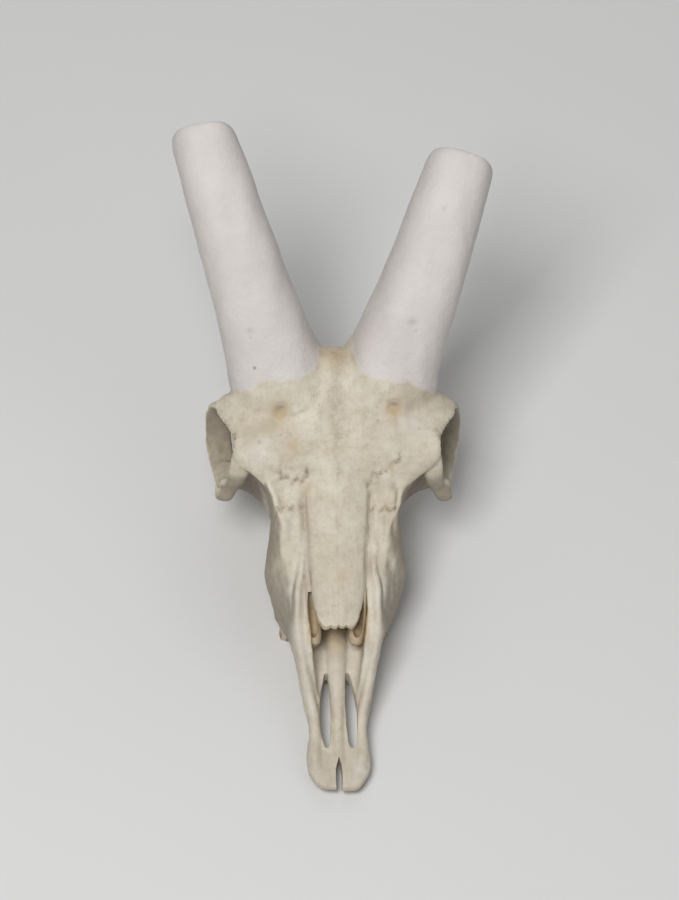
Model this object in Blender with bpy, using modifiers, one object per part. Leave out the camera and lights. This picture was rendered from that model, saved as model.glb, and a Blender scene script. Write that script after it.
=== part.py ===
"""An ibex skull without its lower jaw, its two bare horn cores sawn short.

The skull lies on its cheek teeth and on the two processes beside the neck joint. The snout points to -Y, the
crown of the head to +Y and +Z. Sizes below are millimetres: Y runs back from the tip of the snout and Z up
from the chewing surface. The finished solids are in metres, with the origin under the middle of the whole
skull.
"""

import math

import bmesh
import bpy
from mathutils import Matrix, Vector

MM = 0.001
GAP = 0.3
FORM_VOXEL = 1.5
FORM_SOFTENING = 6
WHOLE_TRIANGLES = 8600
FAR = 400.0

# The roof of the face, from the ends of the nose bones to the crown between the horn cores.
ROOF_TOP = [(56, 24), (66, 34), (85, 54), (96, 59), (118, 68.5), (133, 74.5), (155, 83.5), (165, 88.5),
            (182, 100)]
ROOF_HALF = [(60, 11), (85, 13), (106, 15), (133, 16.5), (155, 18), (182, 22)]
SHOULDER_X = [(60, 18.5), (80, 23), (87.6, 25.8), (94.5, 26.4), (106, 26.4), (121, 26.4), (133, 28.5),
              (148, 34), (159.5, 38.8), (168, 43.5), (175, 52), (182, 56)]
SHOULDER_Z = [(60, 22), (70, 29), (80, 37), (87.6, 42), (94.5, 47), (106, 55), (121, 62), (133, 70),
              (148, 79), (159.5, 84), (168, 87), (182, 98)]
CREST_X = [(60, 18.5), (72, 22), (82, 24.6), (90, 26), (99, 29.3), (106, 32.8), (113, 35.8), (120, 38),
           (127, 40.2), (132, 40.9), (141, 39.7), (148, 38.3), (156, 37), (165, 36), (182, 38)]
CREST_Z = [(60, 18), (72, 25), (82, 31), (99, 32), (113, 36), (132, 42), (148, 45), (182, 47)]
GUM_X = [(60, 16), (80, 19), (99, 22.5), (108, 27.5), (118, 31), (135, 33), (155, 32.5), (182, 26)]
GUM_Z = [(60, 14), (80, 11), (155, 11), (170, 24), (182, 34)]
PALATE_Z = [(60, 15), (80, 17), (120, 21), (155, 25), (182, 42)]
SNOUT_SPAN = (56, 182)

# The frontal shield over the eyes and the rise to the crown.
BROW_TOP = [(160, 82), (172, 94), (185, 103.5), (200, 111.5), (214, 118), (226, 121), (238, 117)]
BROW_HALF = [(160, 36), (168, 50), (173, 58), (177, 60), (180, 60), (184, 60), (190, 62.3), (197, 66.0),
             (204, 69.4), (211, 69.8), (216, 65.8), (223, 55.8), (238, 42)]
BROW_EDGE_Z = [(160, 78.5), (168, 89.5), (176, 97), (184, 101.5), (197, 101), (211, 97.5), (223, 97),
               (238, 92)]
BROW_THICK = [(160, 8), (176, 8), (200, 11), (238, 16)]

# The eye socket: a ring that faces sideways, a little forward and up.
SOCKET_CENTRE = Vector((68.2, 194.5, 77.5))
SOCKET_FORWARD = 0.25
SOCKET_UP = 0.11
SOCKET_OUTER = 26.0
SOCKET_DEPTH = 46.0
BROW_RECESS = 8.0
RING_WALL = [(0, 4.4), (40, 5.5), (75, 6.6), (110, 6.4), (150, 4.5), (190, 5.0), (235, 4.8), (265, 4.3),
             (320, 4.0), (360, 4.4)]
RING_WIDTH = [(0, 15), (30, 15), (45, 17), (75, 21), (110, 21), (135, 16), (160, 12), (200, 10), (235, 9),
              (265, 12), (290, 15.5), (320, 15.5), (345, 15), (360, 15)]
# The lower front corner of the ring stands out and sideways.
CORNER_REACH = 4.6
CORNER_PUSH = 4.4
CORNER_ANGLE = 217.0
CORNER_SPREAD = 17.0

# The wall before the socket, between the cheek's upper ridge and the chewing muscle's edge, going out from
# the face.
CHEEK_X = (28, 67.5)
CHEEK_RIDGE_Y = [(28, 134), (34.8, 148.4), (38.9, 159.5), (43.5, 167.8), (49.9, 172), (58.6, 174),
                 (67.5, 175.5)]
CHEEK_RIDGE_Z = [(28, 71), (34.8, 80), (38.9, 84), (43.5, 86), (49.9, 85), (58.6, 80), (67.5, 63)]
CHEEK_EDGE_Y = [(28, 146), (36.3, 164.2), (38.7, 171.9), (43.8, 179.7), (49.6, 184.6), (57.2, 186.7),
                (67.5, 183)]
CHEEK_EDGE_Z = [(28, 42), (43.8, 44), (57.2, 47), (67.5, 56)]
CHEEK_HOLLOW = [(38, 3.0), (52, -0.5)]
CHEEK_BACK = 198.0

# The braincase and the back of the head.
BRAIN_CENTRE = Vector((0, 214, 78))
BRAIN_RADII = Vector((36, 45, 35))
CROWN_CENTRE = Vector((0, 223, 107))
CROWN_RADII = Vector((36, 20, 13))
NAPE_CENTRE = Vector((0, 248, 62))
NAPE_RADII = Vector((43, 12, 28))
CONDYLE_CENTRE = Vector((13, 261, 43))
CONDYLE_RADII = Vector((8.5, 9, 12))
CANAL_CENTRE = Vector((0, 268, 48))
CANAL_RADII = Vector((9.5, 22, 9))

# The horn cores, each a shaft that leans out, curves back and is sawn off, and the tilt of the saw cut.
CORE_FOOT = Vector((32.4, 232, 103))
CORE_SPREAD = {"right": 1.1, "left": 0.0}
CORE_LEAN = 0.318
CORE_RISE = 62.0
CORE_BEND = 32.0 / 150.0
CORE_LENGTHS = {"right": 141.5, "left": 126.2}
CORE_HALF_WIDTH = [(-14, 29.5), (0, 28.4), (10, 26.6), (26, 24.8), (60, 22.8), (140, 18.4)]
CORE_HALF_DEPTH = [(-14, 36), (0, 33), (12, 30.5), (30, 28.8), (140, 22)]
CORE_SQUARENESS = 2.5
CORE_SUNK = 14.0
SAW_TILT = 16.0
SAW_SLANT = {"right": 9.0, "left": 0.0}

# The nose bones, an arched roof that overhangs the opening of the nose.
NOSE_SPAN = (84.9, 171)
NOSE_TOP = [(85, 55.5), (96, 61.5), (106, 66), (118, 71), (133, 77), (155, 86), (165, 91), (171, 94)]
NOSE_HALF = [(84, 8.6), (88, 11.4), (92, 12.6), (96, 13.5), (106, 15.3), (118, 16.4), (133, 17),
             (155, 18.4), (171, 18.6)]
NOSE_DROP = [(85, 2.5), (96, 5), (106, 6), (171, 6.0)]
NOSE_THICK = 2.8

# The opening of the nose, cut down into the snout and then under the nose bones.
HOLLOW_SPAN = (0, 142)
HOLLOW_HALF = [(0, 11), (46, 11), (60, 12.5), (72, 14), (85, 15.8), (100, 17.2), (112, 16.5), (142, 8)]
HOLLOW_FLOOR = [(0, 17.5), (46, 17.5), (60, 18), (80, 21), (112, 27), (142, 46)]
HOLLOW_ROOF = [(0, 130), (112, 130), (120, 66), (142, 72)]

# The premaxillae: the flat beak, its side bars and the slit between its tips.
BEAK_SPAN = (6, 72)
BEAK_HALF = [(6, 8.4), (7.5, 11.4), (9.5, 13.4), (13, 15.9), (17, 17.7), (24, 18.4), (32, 17.2),
             (39.5, 16.4), (47, 17), (53.5, 18.6), (60, 19.8), (72, 22.4)]
BEAK_MIDDLE_Z = [(6, 9), (20, 9.5), (40, 12), (72, 16)]
BEAK_THICK = [(6, 2.0), (10, 3.4), (19, 4.0), (40, 3.0), (72, 2.6)]
BAR_ROUTE = [(12.5, 17, 11), (13.8, 29, 12.5), (13, 40, 14.5), (14, 50, 18), (16.4, 60, 22), (19.2, 72, 29),
             (21.6, 83, 37), (22.8, 94, 45), (22.5, 106, 53), (20, 118, 61)]
BAR_RADII = [(3.6, 3.0), (3.4, 3.2), (3.2, 3.4), (3.2, 4.0), (3.3, 5.0), (3.4, 6.0), (3.5, 7), (3.5, 6.5),
             (3.2, 6.0), (2.2, 3.0)]
SLIT_HALF_WIDTH = [(0, 1.3), (9, 1.2), (15, 1.7), (20, 1.4), (25, 0.6), (28, 0.25)]
SLIT_SPAN = (0, 28)
FISSURE_HALF_WIDTH = [(30, 1.2), (31.5, 2.3), (34, 3.1), (41, 3.8), (50, 4.1), (58, 3.7), (68, 2.3),
                      (76, 0.8)]
FISSURE_X = [(30, 5.4), (40, 6.2), (54, 6.7), (76, 6.6)]
FISSURE_SPAN = (30, 76)

# The cheek teeth, front to back: length along the row, half width, and where the row stands.
TEETH = [(8.0, 2.4), (8.6, 3.4), (9.4, 5.2), (12.4, 6.3), (15.6, 7.0), (18.6, 7.0)]
ROW_FRONT = 83.0
ROW_X = [(83, 14.5), (95, 17.2), (104, 21), (115, 24.3), (129, 26.3), (156, 26)]
ROW_TOP = 16.0
TOOTH_SPACE = 0.5

# The processes beside the neck joint, which reach the floor.
PROCESS_ROUTE = [(32, 252, 52), (33, 253, 34), (31, 251, 18), (29, 248, 6), (28.5, 247.5, 0)]
PROCESS_RADII = [(8, 8), (5.5, 7.5), (4, 6.2), (3.4, 5), (3.2, 4.4)]
REST_LEVEL = 0.0
FLOOR_LEVEL = 1.4

# Where the bones are parted: each suture is a thin cut.
CORE_BASE_RISE = 9.0
NOSE_SUTURE_DEPTH = 5.0
NOSE_SUTURE_MARGIN = 0.5
NOSE_SUTURE_BACK = 168.0
BEAK_SUTURE_Y = 44.0
BEAK_SUTURE_SLOPE = 1.3
VOMER_ROUTE = [(0, 70, 24), (0, 100, 30), (0, 126, 38)]
VOMER_RADII = [(6, 8), (7.4, 9), (6.6, 10)]
FRONTAL_FRONT = 166.0
FRONTAL_BACK = 238.0
FRONTAL_FLOOR = [(160, 85), (200, 87), (238, 90)]
CHEEKBONE_INNER = [(150, 47), (190, 47), (204, 56.5), (226, 56.5)]
CHEEKBONE_TOP = 88.0
FACE_BACK = 181.0

BONE = (0.80, 0.75, 0.64)
CORE_WHITE = (0.86, 0.85, 0.84)
SIDES = {"left": 1, "right": -1}


def smooth(knots, at):
    """The value at a place, read from (place, value) knots by a curve that never overshoots them."""
    if at <= knots[0][0]:
        return knots[0][1]
    if at >= knots[-1][0]:
        return knots[-1][1]
    i = next(k for k in range(len(knots) - 1) if at < knots[k + 1][0])

    def slope(k):
        k = max(0, min(len(knots) - 2, k))
        return (knots[k + 1][1] - knots[k][1]) / (knots[k + 1][0] - knots[k][0])

    def tangent(k):
        before, after = slope(k - 1), slope(k)
        return 0 if before * after <= 0 else 2 * before * after / (before + after)

    span = knots[i + 1][0] - knots[i][0]
    t = (at - knots[i][0]) / span
    start, end = knots[i][1], knots[i + 1][1]
    m0, m1 = tangent(i) * span, tangent(i + 1) * span
    return ((2 * t**3 - 3 * t**2 + 1) * start + (t**3 - 2 * t**2 + t) * m0
            + (3 * t**2 - 2 * t**3) * end + (t**3 - t**2) * m1)


def along(points, share):
    """A point on the smooth line through a list of points, from share 0 at the first to 1 at the last."""
    count = len(points) - 1
    return Vector([smooth([(i / count, p[axis]) for i, p in enumerate(points)], share)
                   for axis in range(len(points[0]))])


def new_object(name, bm):
    """An object in metres from a bmesh in millimetres, with its faces pointing out."""
    bmesh.ops.recalc_face_normals(bm, faces=bm.faces)
    if bm.calc_volume(signed=True) < 0:
        bmesh.ops.reverse_faces(bm, faces=bm.faces)
    mesh = bpy.data.meshes.new(name)
    bm.to_mesh(mesh)
    bm.free()
    mesh.transform(Matrix.Scale(MM, 4))
    made = bpy.data.objects.new(name, mesh)
    bpy.context.scene.collection.objects.link(made)
    return made


def loft(name, place, rings=24, around=32):
    """A closed form from a UV sphere whose rings become sections: place(share, turn) is a point of the
    surface, with share from 0 to 1 along it and turn from 0 to 1 around it."""
    bm = bmesh.new()
    bmesh.ops.create_uvsphere(bm, u_segments=around, v_segments=rings + 1, radius=1)
    for vert in bm.verts:
        ring = round(math.acos(max(-1, min(1, vert.co.z))) / math.pi * (rings + 1))
        share = min(1, max(0, (ring - 1) / (rings - 1)))
        if ring in (0, rings + 1):
            vert.co = sum((place(share, k / around) for k in range(around)), Vector()) / around
        else:
            vert.co = place(share, round(math.atan2(vert.co.y, vert.co.x) / math.tau * around) / around % 1)
    return new_object(name, bm)


def profile_loft(name, span, section, rings=24, around=40):
    """A loft along Y whose sections are alike on both sides: section(y) lists (x, z) points from the top of
    the middle line, round the +X side, to the bottom of the middle line."""
    def place(share, turn):
        y = span[0] + (span[1] - span[0]) * share
        side = 1 if turn <= 0.5 else -1
        x, z = along(section(y), 1 - abs(1 - 2 * turn) if turn > 0.5 else 2 * turn)
        return Vector((side * max(0, x), y, z))
    return loft(name, place, rings, around)


def egg(name, centre, radii, turn=None, size=24):
    """An ellipsoid, turned about X by an angle in degrees if one is given."""
    bm = bmesh.new()
    bmesh.ops.create_uvsphere(bm, u_segments=size, v_segments=size // 2, radius=1)
    tilt = Matrix.Rotation(math.radians(turn or 0), 4, "X")
    place = Matrix.Translation(centre) @ tilt @ Matrix.Diagonal((*radii, 1))
    bmesh.ops.transform(bm, matrix=place, verts=bm.verts)
    return new_object(name, bm)


def limb(name, route, radii, rings=20, around=16):
    """A rounded bar along a route, with two half sizes at each of its points: sideways, and upright, or from
    front to back where the route mostly rises or falls."""
    reach = Vector(route[-1]) - Vector(route[0])
    steady = Vector((0, 1, 0)) if abs(reach.z) > abs(reach.y) else Vector((0, 0, 1))

    def place(share, turn):
        here = along(route, share)
        ahead = (along(route, min(1, share + 0.02)) - along(route, max(0, share - 0.02))).normalized()
        upright = (steady - ahead * steady.dot(ahead)).normalized()
        sideways = upright.cross(ahead)
        half = along(radii, share)
        angle = turn * math.tau
        return here + sideways * half[0] * math.cos(angle) + upright * half[1] * math.sin(angle)
    return loft(name, place, rings, around)


def mirrored(route, side):
    """A route or a centre on the side asked for: 1 is the animal's left, at +X."""
    if isinstance(route, Vector):
        return Vector((route.x * side, route.y, route.z))
    return [(p[0] * side, *p[1:]) for p in route]


def snout():
    """The solid face from the beak's root to the sockets."""
    def section(y):
        top, roof = smooth(ROOF_TOP, y), smooth(ROOF_HALF, y)
        shoulder = (smooth(SHOULDER_X, y), smooth(SHOULDER_Z, y))
        crest = (smooth(CREST_X, y), smooth(CREST_Z, y))
        gum = (smooth(GUM_X, y), smooth(GUM_Z, y))
        palate = smooth(PALATE_Z, y)
        inner = (gum[0] - 12, min(palate, gum[1] + 1))
        return [(0, top), (roof * 0.55, top - 1.5), (roof, top - 6), shoulder, crest, gum, inner,
                (gum[0] - 18, palate),
                (0, palate)]
    return profile_loft("snout", SNOUT_SPAN, section, rings=40, around=56)


def brow():
    """The frontal bones between and behind the eyes."""
    def section(y):
        top, half = smooth(BROW_TOP, y), smooth(BROW_HALF, y)
        edge, thick = smooth(BROW_EDGE_Z, y), smooth(BROW_THICK, y)
        bulge = edge + (top - edge) * 0.72
        return [(0, top), (half * 0.5, bulge + 1), (half - 4, edge + 2), (half, edge - 1),
                (half - 3, edge - 4),
                (half * 0.5, edge - thick * 0.8), (0, edge - thick)]
    return profile_loft("brow", (BROW_TOP[0][0], BROW_TOP[-1][0]), section, rings=30, around=44)


def socket_point(side, angle, radius, inward):
    """A point round the eye socket: angle 0 is its back and 90 degrees its top, inward is towards the
    middle."""
    y = math.cos(math.radians(angle)) * radius
    z = math.sin(math.radians(angle)) * radius
    x = SOCKET_CENTRE.x + SOCKET_FORWARD * y - SOCKET_UP * z - inward
    return Vector((side * x, SOCKET_CENTRE.y + y, SOCKET_CENTRE.z + z))


def rim_recess(angle):
    """How far the brow stands in from the socket's plane at an angle round it."""
    return BROW_RECESS * math.exp(-((angle % 360 - 104) / 29) ** 2)


def socket_ring(side):
    """The bony ring round the eye, broad over the eye and narrow behind and below it."""
    def place(share, turn):
        angle = 360 * share
        here = turn * math.tau
        half_wall, half_width = smooth(RING_WALL, angle) / 2, smooth(RING_WIDTH, angle) / 2
        away = (angle - CORNER_ANGLE) / CORNER_SPREAD
        radius = SOCKET_OUTER + CORNER_REACH * math.exp(-away**2) - half_wall * (1 - math.cos(here))
        inward = half_width * (1 - math.sin(here)) + rim_recess(angle)
        inward -= CORNER_PUSH * math.exp(-0.5 * away**2)
        return socket_point(side, angle, radius, inward)

    bm = bmesh.new()
    steps, around = 40, 12
    bmesh.ops.create_circle(bm, cap_ends=False, segments=around, radius=1)
    bm.verts.ensure_lookup_table()
    first = list(bm.verts)
    ring = list(first)
    for k, vert in enumerate(ring):
        vert.co = place(0, k / around)
    for step in range(1, steps):
        edges = [bm.edges.get((ring[k], ring[(k + 1) % around])) for k in range(around)]
        made = bmesh.ops.extrude_edge_only(bm, edges=edges)["geom"]
        fresh = {v for v in made if isinstance(v, bmesh.types.BMVert)}
        ring = [next(e.other_vert(v) for e in v.link_edges if e.other_vert(v) in fresh) for v in ring]
        for k, vert in enumerate(ring):
            vert.co = place(step / steps, k / around)
    last = [bm.edges.get((ring[k], ring[(k + 1) % around])) for k in range(around)]
    start = [bm.edges.get((first[k], first[(k + 1) % around])) for k in range(around)]
    bmesh.ops.bridge_loops(bm, edges=last + start)
    return new_object("socket_ring", bm)


def cheek_wall(side):
    """The wall that carries the front of the socket out from the face."""
    def place(share, turn):
        x = CHEEK_X[0] + (CHEEK_X[1] - CHEEK_X[0]) * share
        ridge = (smooth(CHEEK_RIDGE_Y, x), smooth(CHEEK_RIDGE_Z, x))
        edge = (smooth(CHEEK_EDGE_Y, x), smooth(CHEEK_EDGE_Z, x))
        hollow = ((ridge[0] + edge[0]) / 2 + smooth(CHEEK_HOLLOW, x), (ridge[1] + edge[1]) / 2)
        outline = [(CHEEK_BACK, ridge[1] + 2), (ridge[0] + 12, ridge[1] + 3), ridge, hollow, edge,
                   (edge[0] + 8, edge[1] - 2),
                   (CHEEK_BACK, edge[1] + 4), (CHEEK_BACK, ridge[1] + 2)]
        y, z = along(outline, turn)
        return Vector((side * x, y, z))
    return loft("cheek_wall", place, rings=20, around=40)


def socket_hollow(side):
    """The cutter for the eye socket, a cone that runs in and back towards the brain."""
    def place(share, turn):
        inward = -14 + (SOCKET_DEPTH + 14) * share
        radius = SOCKET_OUTER - smooth(RING_WALL, turn * 360) - 9 * max(0, inward) / SOCKET_DEPTH
        if share > 0.96:
            radius *= 0.7
        point = socket_point(side, turn * 360, radius, inward + 0.4 * rim_recess(turn * 360))
        point.y += 0.16 * max(0, inward)
        return point
    return loft("socket_hollow", place, rings=16, around=40)


def temple_hollow(side):
    """The cutter for the open floor of the socket and the hollow behind it, inside the cheek arch."""
    route = [(side * 46, 206, 26), (side * 46, 211, 50), (side * 48, 224, 68), (side * 48, 238, 84),
             (side * 58, 252, 96)]
    radii = [(9, 9), (11, 12), (11, 16), (9, 12), (8, 9)]
    return limb("temple_hollow", route, radii, rings=22, around=24)


def cheek_arch(side):
    """The bar from the socket's foot back to the joint of the lower jaw."""
    route = mirrored([(68, 203, 55), (70, 216, 58), (65.5, 229, 59), (55, 239, 58), (44, 244, 56)], side)
    return limb("cheek_arch", route, [(3.4, 5.0), (3.0, 5.2), (2.8, 5.2), (5, 5.5), (10, 7)], rings=24)


def horn_core(name, sink=CORE_SUNK):
    """One horn core, from inside the brow to its sawn end."""
    side, length, slant = SIDES[name], CORE_LENGTHS[name], SAW_SLANT[name]
    total = length + sink

    def spine(distance):
        steps = 14
        here = CORE_FOOT + Vector((CORE_SPREAD[name], 0, 0))
        for k in range(steps):
            step = distance / steps
            angle = math.radians(CORE_RISE - CORE_BEND * max(0, step * (k + 0.5)))
            here += Vector((CORE_LEAN, math.cos(angle), math.sin(angle))).normalized() * step
        return here

    def place(share, turn):
        distance = total * share - sink
        rounding = max(0, (distance - length + 4) / 4)
        here = spine(distance)
        ahead = (spine(distance + 1) - spine(distance - 1)).normalized()
        sideways = ahead.cross(Vector((0, -ahead.z, ahead.y))).normalized()
        if sideways.x < 0:
            sideways.negate()
        depthways = ahead.cross(sideways).normalized()
        half = (smooth(CORE_HALF_WIDTH, distance), smooth(CORE_HALF_DEPTH, distance))
        shrink = 1 - 0.10 * rounding**2
        angle = turn * math.tau
        cos, sin = math.cos(angle), math.sin(angle)
        round_x = math.copysign(abs(cos) ** (2 / CORE_SQUARENESS), cos)
        round_y = math.copysign(abs(sin) ** (2 / CORE_SQUARENESS), sin)
        point = here + sideways * half[0] * round_x * shrink + depthways * half[1] * round_y * shrink
        back = math.copysign(round_y * half[1], depthways.y * round_y)
        skew = sideways.x * half[0] * round_x * math.tan(math.radians(slant))
        skew -= back * math.tan(math.radians(SAW_TILT))
        point += ahead * skew * max(0, distance / length) ** 3
        return Vector((point.x * side, point.y, point.z))
    return loft("horn_core", place, rings=36, around=32)


def nose_roof():
    """The paired nose bones as one arched plate."""
    def section(y):
        top, half, drop = smooth(NOSE_TOP, y), smooth(NOSE_HALF, y), smooth(NOSE_DROP, y)
        return [(0, top), (half * 0.55, top - 0.3 * drop), (half * 0.92, top - 0.8 * drop),
                (half, top - drop - NOSE_THICK * 0.6),
                (half * 0.9, top - drop - NOSE_THICK), (half * 0.5, top - 0.3 * drop - NOSE_THICK),
                (0, top - NOSE_THICK)]
    return profile_loft("nose_roof", NOSE_SPAN, section, rings=30, around=40)


def nose_hollow():
    """The cutter for the opening of the nose."""
    def section(y):
        half, floor, roof = smooth(HOLLOW_HALF, y), smooth(HOLLOW_FLOOR, y), smooth(HOLLOW_ROOF, y)
        half_top = half if roof < 100 else half + 3
        return [(0, roof), (half_top * 0.9, roof - 1), (half_top, roof - 5), (half, (roof + floor) / 2),
                (half - 1, floor + 6),
                (half - 4, floor + 1), (0, floor)]
    return profile_loft("nose_hollow", HOLLOW_SPAN, section, rings=40, around=48)


def beak():
    """The flat front of the upper jaw."""
    def section(y):
        half, middle, thick = smooth(BEAK_HALF, y), smooth(BEAK_MIDDLE_Z, y), smooth(BEAK_THICK, y)
        return [(0, middle + thick * 0.8), (half * 0.6, middle + thick * 0.9),
                (half * 0.93, middle + thick * 0.7), (half, middle),
                (half * 0.93, middle - thick * 0.7), (half * 0.6, middle - thick * 0.9),
                (0, middle - thick * 0.8)]
    return profile_loft("beak", BEAK_SPAN, section, rings=30, around=32)


def beak_slit():
    """The cutter between the two tips of the beak."""
    def place(share, turn):
        y = SLIT_SPAN[0] + (SLIT_SPAN[1] - SLIT_SPAN[0]) * share
        angle = turn * math.tau
        return Vector((smooth(SLIT_HALF_WIDTH, y) * math.cos(angle), y, 10 + 14 * math.sin(angle)))
    return loft("beak_slit", place, rings=14, around=16)


def fissure(side):
    """The cutter for the long opening through the palate behind a tip of the beak."""
    def place(share, turn):
        y = FISSURE_SPAN[0] + (FISSURE_SPAN[1] - FISSURE_SPAN[0]) * share
        angle = turn * math.tau
        half, middle = smooth(FISSURE_HALF_WIDTH, y), smooth(FISSURE_X, y)
        return Vector((side * (middle + half * math.cos(angle)), y, 14 + 30 * math.sin(angle)))
    return loft("fissure", place, rings=16, around=20)


def tooth(side, front, length, half):
    """One cheek tooth: a crown with two ribs outside, standing in its socket."""
    middle = front + length / 2
    x = smooth(ROW_X, middle)

    def place(share, turn):
        z = REST_LEVEL + (ROW_TOP - REST_LEVEL) * share
        angle = turn * math.tau
        cos, sin = math.cos(angle), math.sin(angle)
        lobes = 1 - 0.13 * math.cos(4 * angle) * (1 if length > 11 else 0.4)
        swell = 0.92 + 0.14 * math.sin(math.pi * min(1, share * 1.3))
        reach_y = (length / 2 - TOOTH_SPACE / 2) * math.copysign(abs(sin) ** 0.55, sin)
        reach_x = half * lobes * swell * math.copysign(abs(cos) ** 0.6, cos)
        return Vector((side * (x + reach_x + 0.12 * z), middle + reach_y, z))
    return loft("tooth", place, rings=5, around=20)


def tooth_row(side):
    """All the teeth of one side."""
    front = ROW_FRONT
    made = []
    for length, half in TEETH:
        made.append(tooth(side, front, length, half))
        front += length
    return made


def head_forms():
    """Every rounded form of the bare skull before its hollows are cut."""
    forms = [snout(), brow(), egg("brain", BRAIN_CENTRE, BRAIN_RADII, size=32),
             egg("crown", CROWN_CENTRE, CROWN_RADII),
             egg("nape", NAPE_CENTRE, NAPE_RADII, turn=-14)]
    forms.append(limb("base", [(0, 160, 46), (0, 190, 46), (0, 225, 42), (0, 262, 40)],
                      [(22, 9), (15, 9), (14, 8), (12, 6)], rings=20))
    forms.append(egg("inner_wall", Vector((0, 188, 74)), Vector((31, 30, 27))))
    for side in SIDES.values():
        forms += [socket_ring(side), cheek_wall(side), cheek_arch(side)]
        forms.append(egg("jaw_joint", mirrored(Vector((43, 238, 53)), side), Vector((13, 11, 7))))
        forms.append(egg("ear_bulge", mirrored(Vector((39, 246, 56)), side), Vector((10, 11, 18))))
        forms.append(egg("condyle", mirrored(CONDYLE_CENTRE, side), CONDYLE_RADII, turn=-20))
        forms.append(egg("bulla", mirrored(Vector((20, 236, 34)), side), Vector((8, 13, 11)), turn=12))
        forms.append(limb("process", mirrored(PROCESS_ROUTE, side), PROCESS_RADII))
        forms.append(limb("wing", mirrored([(13, 150, 30), (13.5, 172, 34), (13, 192, 36), (12, 206, 42)],
                                           side),
                          [(2.6, 12), (1.9, 13), (1.8, 12), (1.8, 6)], rings=16))
    return forms


def modifier(made, kind, **settings):
    """Adds a modifier to an object and applies it at once."""
    added = made.modifiers.new(kind.lower(), kind)
    for key, value in settings.items():
        setattr(added, key, value)
    bpy.context.view_layer.update()
    graph = bpy.context.evaluated_depsgraph_get()
    mesh = bpy.data.meshes.new_from_object(made.evaluated_get(graph))
    made.modifiers.clear()
    old = made.data
    made.data = mesh
    bpy.data.meshes.remove(old)
    return made


def joined(name, pieces):
    """One object that holds the meshes of several, which are removed."""
    bm = bmesh.new()
    for piece in pieces:
        bm.from_mesh(piece.data)
        bpy.data.objects.remove(piece)
    mesh = bpy.data.meshes.new(name)
    bm.to_mesh(mesh)
    bm.free()
    made = bpy.data.objects.new(name, mesh)
    bpy.context.scene.collection.objects.link(made)
    return made


def fused(name, pieces, voxel=FORM_VOXEL, softening=FORM_SOFTENING):
    """Overlapping forms grown together into one smooth skin."""
    made = joined(name, pieces)
    modifier(made, "REMESH", mode="VOXEL", voxel_size=voxel * MM, adaptivity=0.0)
    return modifier(made, "SMOOTH", factor=0.5, iterations=softening)


def cut(made, cutters, operation="DIFFERENCE"):
    """Takes cutters away from an object, or keeps only what is inside one, and removes them."""
    for cutter in cutters:
        modifier(made, "BOOLEAN", operation=operation, object=cutter, solver="MANIFOLD")
        bpy.data.objects.remove(cutter)
    return made


def hollow_cutters():
    """Every hollow of the bare skull, as cutters."""
    cutters = [nose_hollow(), beak_slit(), egg("canal", CANAL_CENTRE, CANAL_RADII, turn=-20)]
    for side in SIDES.values():
        cutters += [socket_hollow(side), temple_hollow(side)]
        cutters.append(fissure(side))
    return cutters


def palate_cutters():
    """The narrow openings of the beak."""
    return [beak_slit(), fissure(1), fissure(-1)]


def whole_skull():
    """The skull with its hollows cut, before the bones are parted."""
    skull = cut(fused("skull", head_forms()), hollow_cutters())
    front = [beak(), limb("middle_bar", [(0, 18, 10), (0, 40, 13.5), (0, 66, 18), (0, 100, 24), (0, 128, 34)],
                          [(3.6, 3.4), (3.2, 3.4), (4.6, 4), (6.6, 6), (6, 8)])]
    front += [limb("side_bar", mirrored(BAR_ROUTE, side), BAR_RADII, rings=30) for side in SIDES.values()]
    cores = [horn_core(name) for name in SIDES]
    teeth = tooth_row(1) + tooth_row(-1)
    skull = fused("skull", [skull, nose_roof(), *front, *cores, *teeth], softening=4)
    return cut(skull, palate_cutters())


def largest_part(made):
    """Keeps only the largest closed surface of an object."""
    bm = bmesh.new()
    bm.from_mesh(made.data)
    left = set(bm.verts)
    groups = []
    while left:
        reached, front = set(), [left.pop()]
        while front:
            vert = front.pop()
            reached.add(vert)
            for edge in vert.link_edges:
                other = edge.other_vert(vert)
                if other in left:
                    left.remove(other)
                    front.append(other)
        groups.append(reached)
    groups.sort(key=len, reverse=True)
    bmesh.ops.delete(bm, geom=[v for group in groups[1:] for v in group], context="VERTS")
    bm.to_mesh(made.data)
    bm.free()
    return made


def prism(name, outline, axis, span):
    """A solid with a flat outline, in millimetres, drawn out along an axis: X, Y or Z."""
    bm = bmesh.new()
    order = {"X": lambda a, b, c: (c, a, b), "Y": lambda a, b, c: (a, c, b),
             "Z": lambda a, b, c: (a, b, c)}[axis]
    face = bm.faces.new([bm.verts.new(order(a, b, span[0])) for a, b in outline])
    made = bmesh.ops.extrude_face_region(bm, geom=[face])["geom"]
    fresh = [v for v in made if isinstance(v, bmesh.types.BMVert)]
    bmesh.ops.translate(bm, vec=Vector(order(0, 0, span[1] - span[0])), verts=fresh)
    return new_object(name, bm)


def core_region(side, grow):
    """The space that one horn core fills above its base."""
    low, inner = CORE_BASE_RISE - grow, -24.0 - grow
    outline = [(inner, low), (inner - 10, low + 12), (inner - 10, FAR), (70, FAR), (70, low)]
    made = prism("core_region", outline, "Y", (-90, 90))
    rise = math.radians(CORE_RISE)
    ahead = Vector((CORE_LEAN, math.cos(rise), math.sin(rise))).normalized()
    across = ahead.cross(Vector((0, -ahead.z, ahead.y))).normalized()
    across = across if across.x > 0 else -across
    deep = ahead.cross(across)
    turn = Matrix((across, deep, ahead)).transposed().to_4x4()
    made.data.transform(Matrix.Diagonal((side, 1, 1, 1)) @ Matrix.Translation(CORE_FOOT * MM) @ turn)
    return made if side > 0 else faced_out(made)


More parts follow.
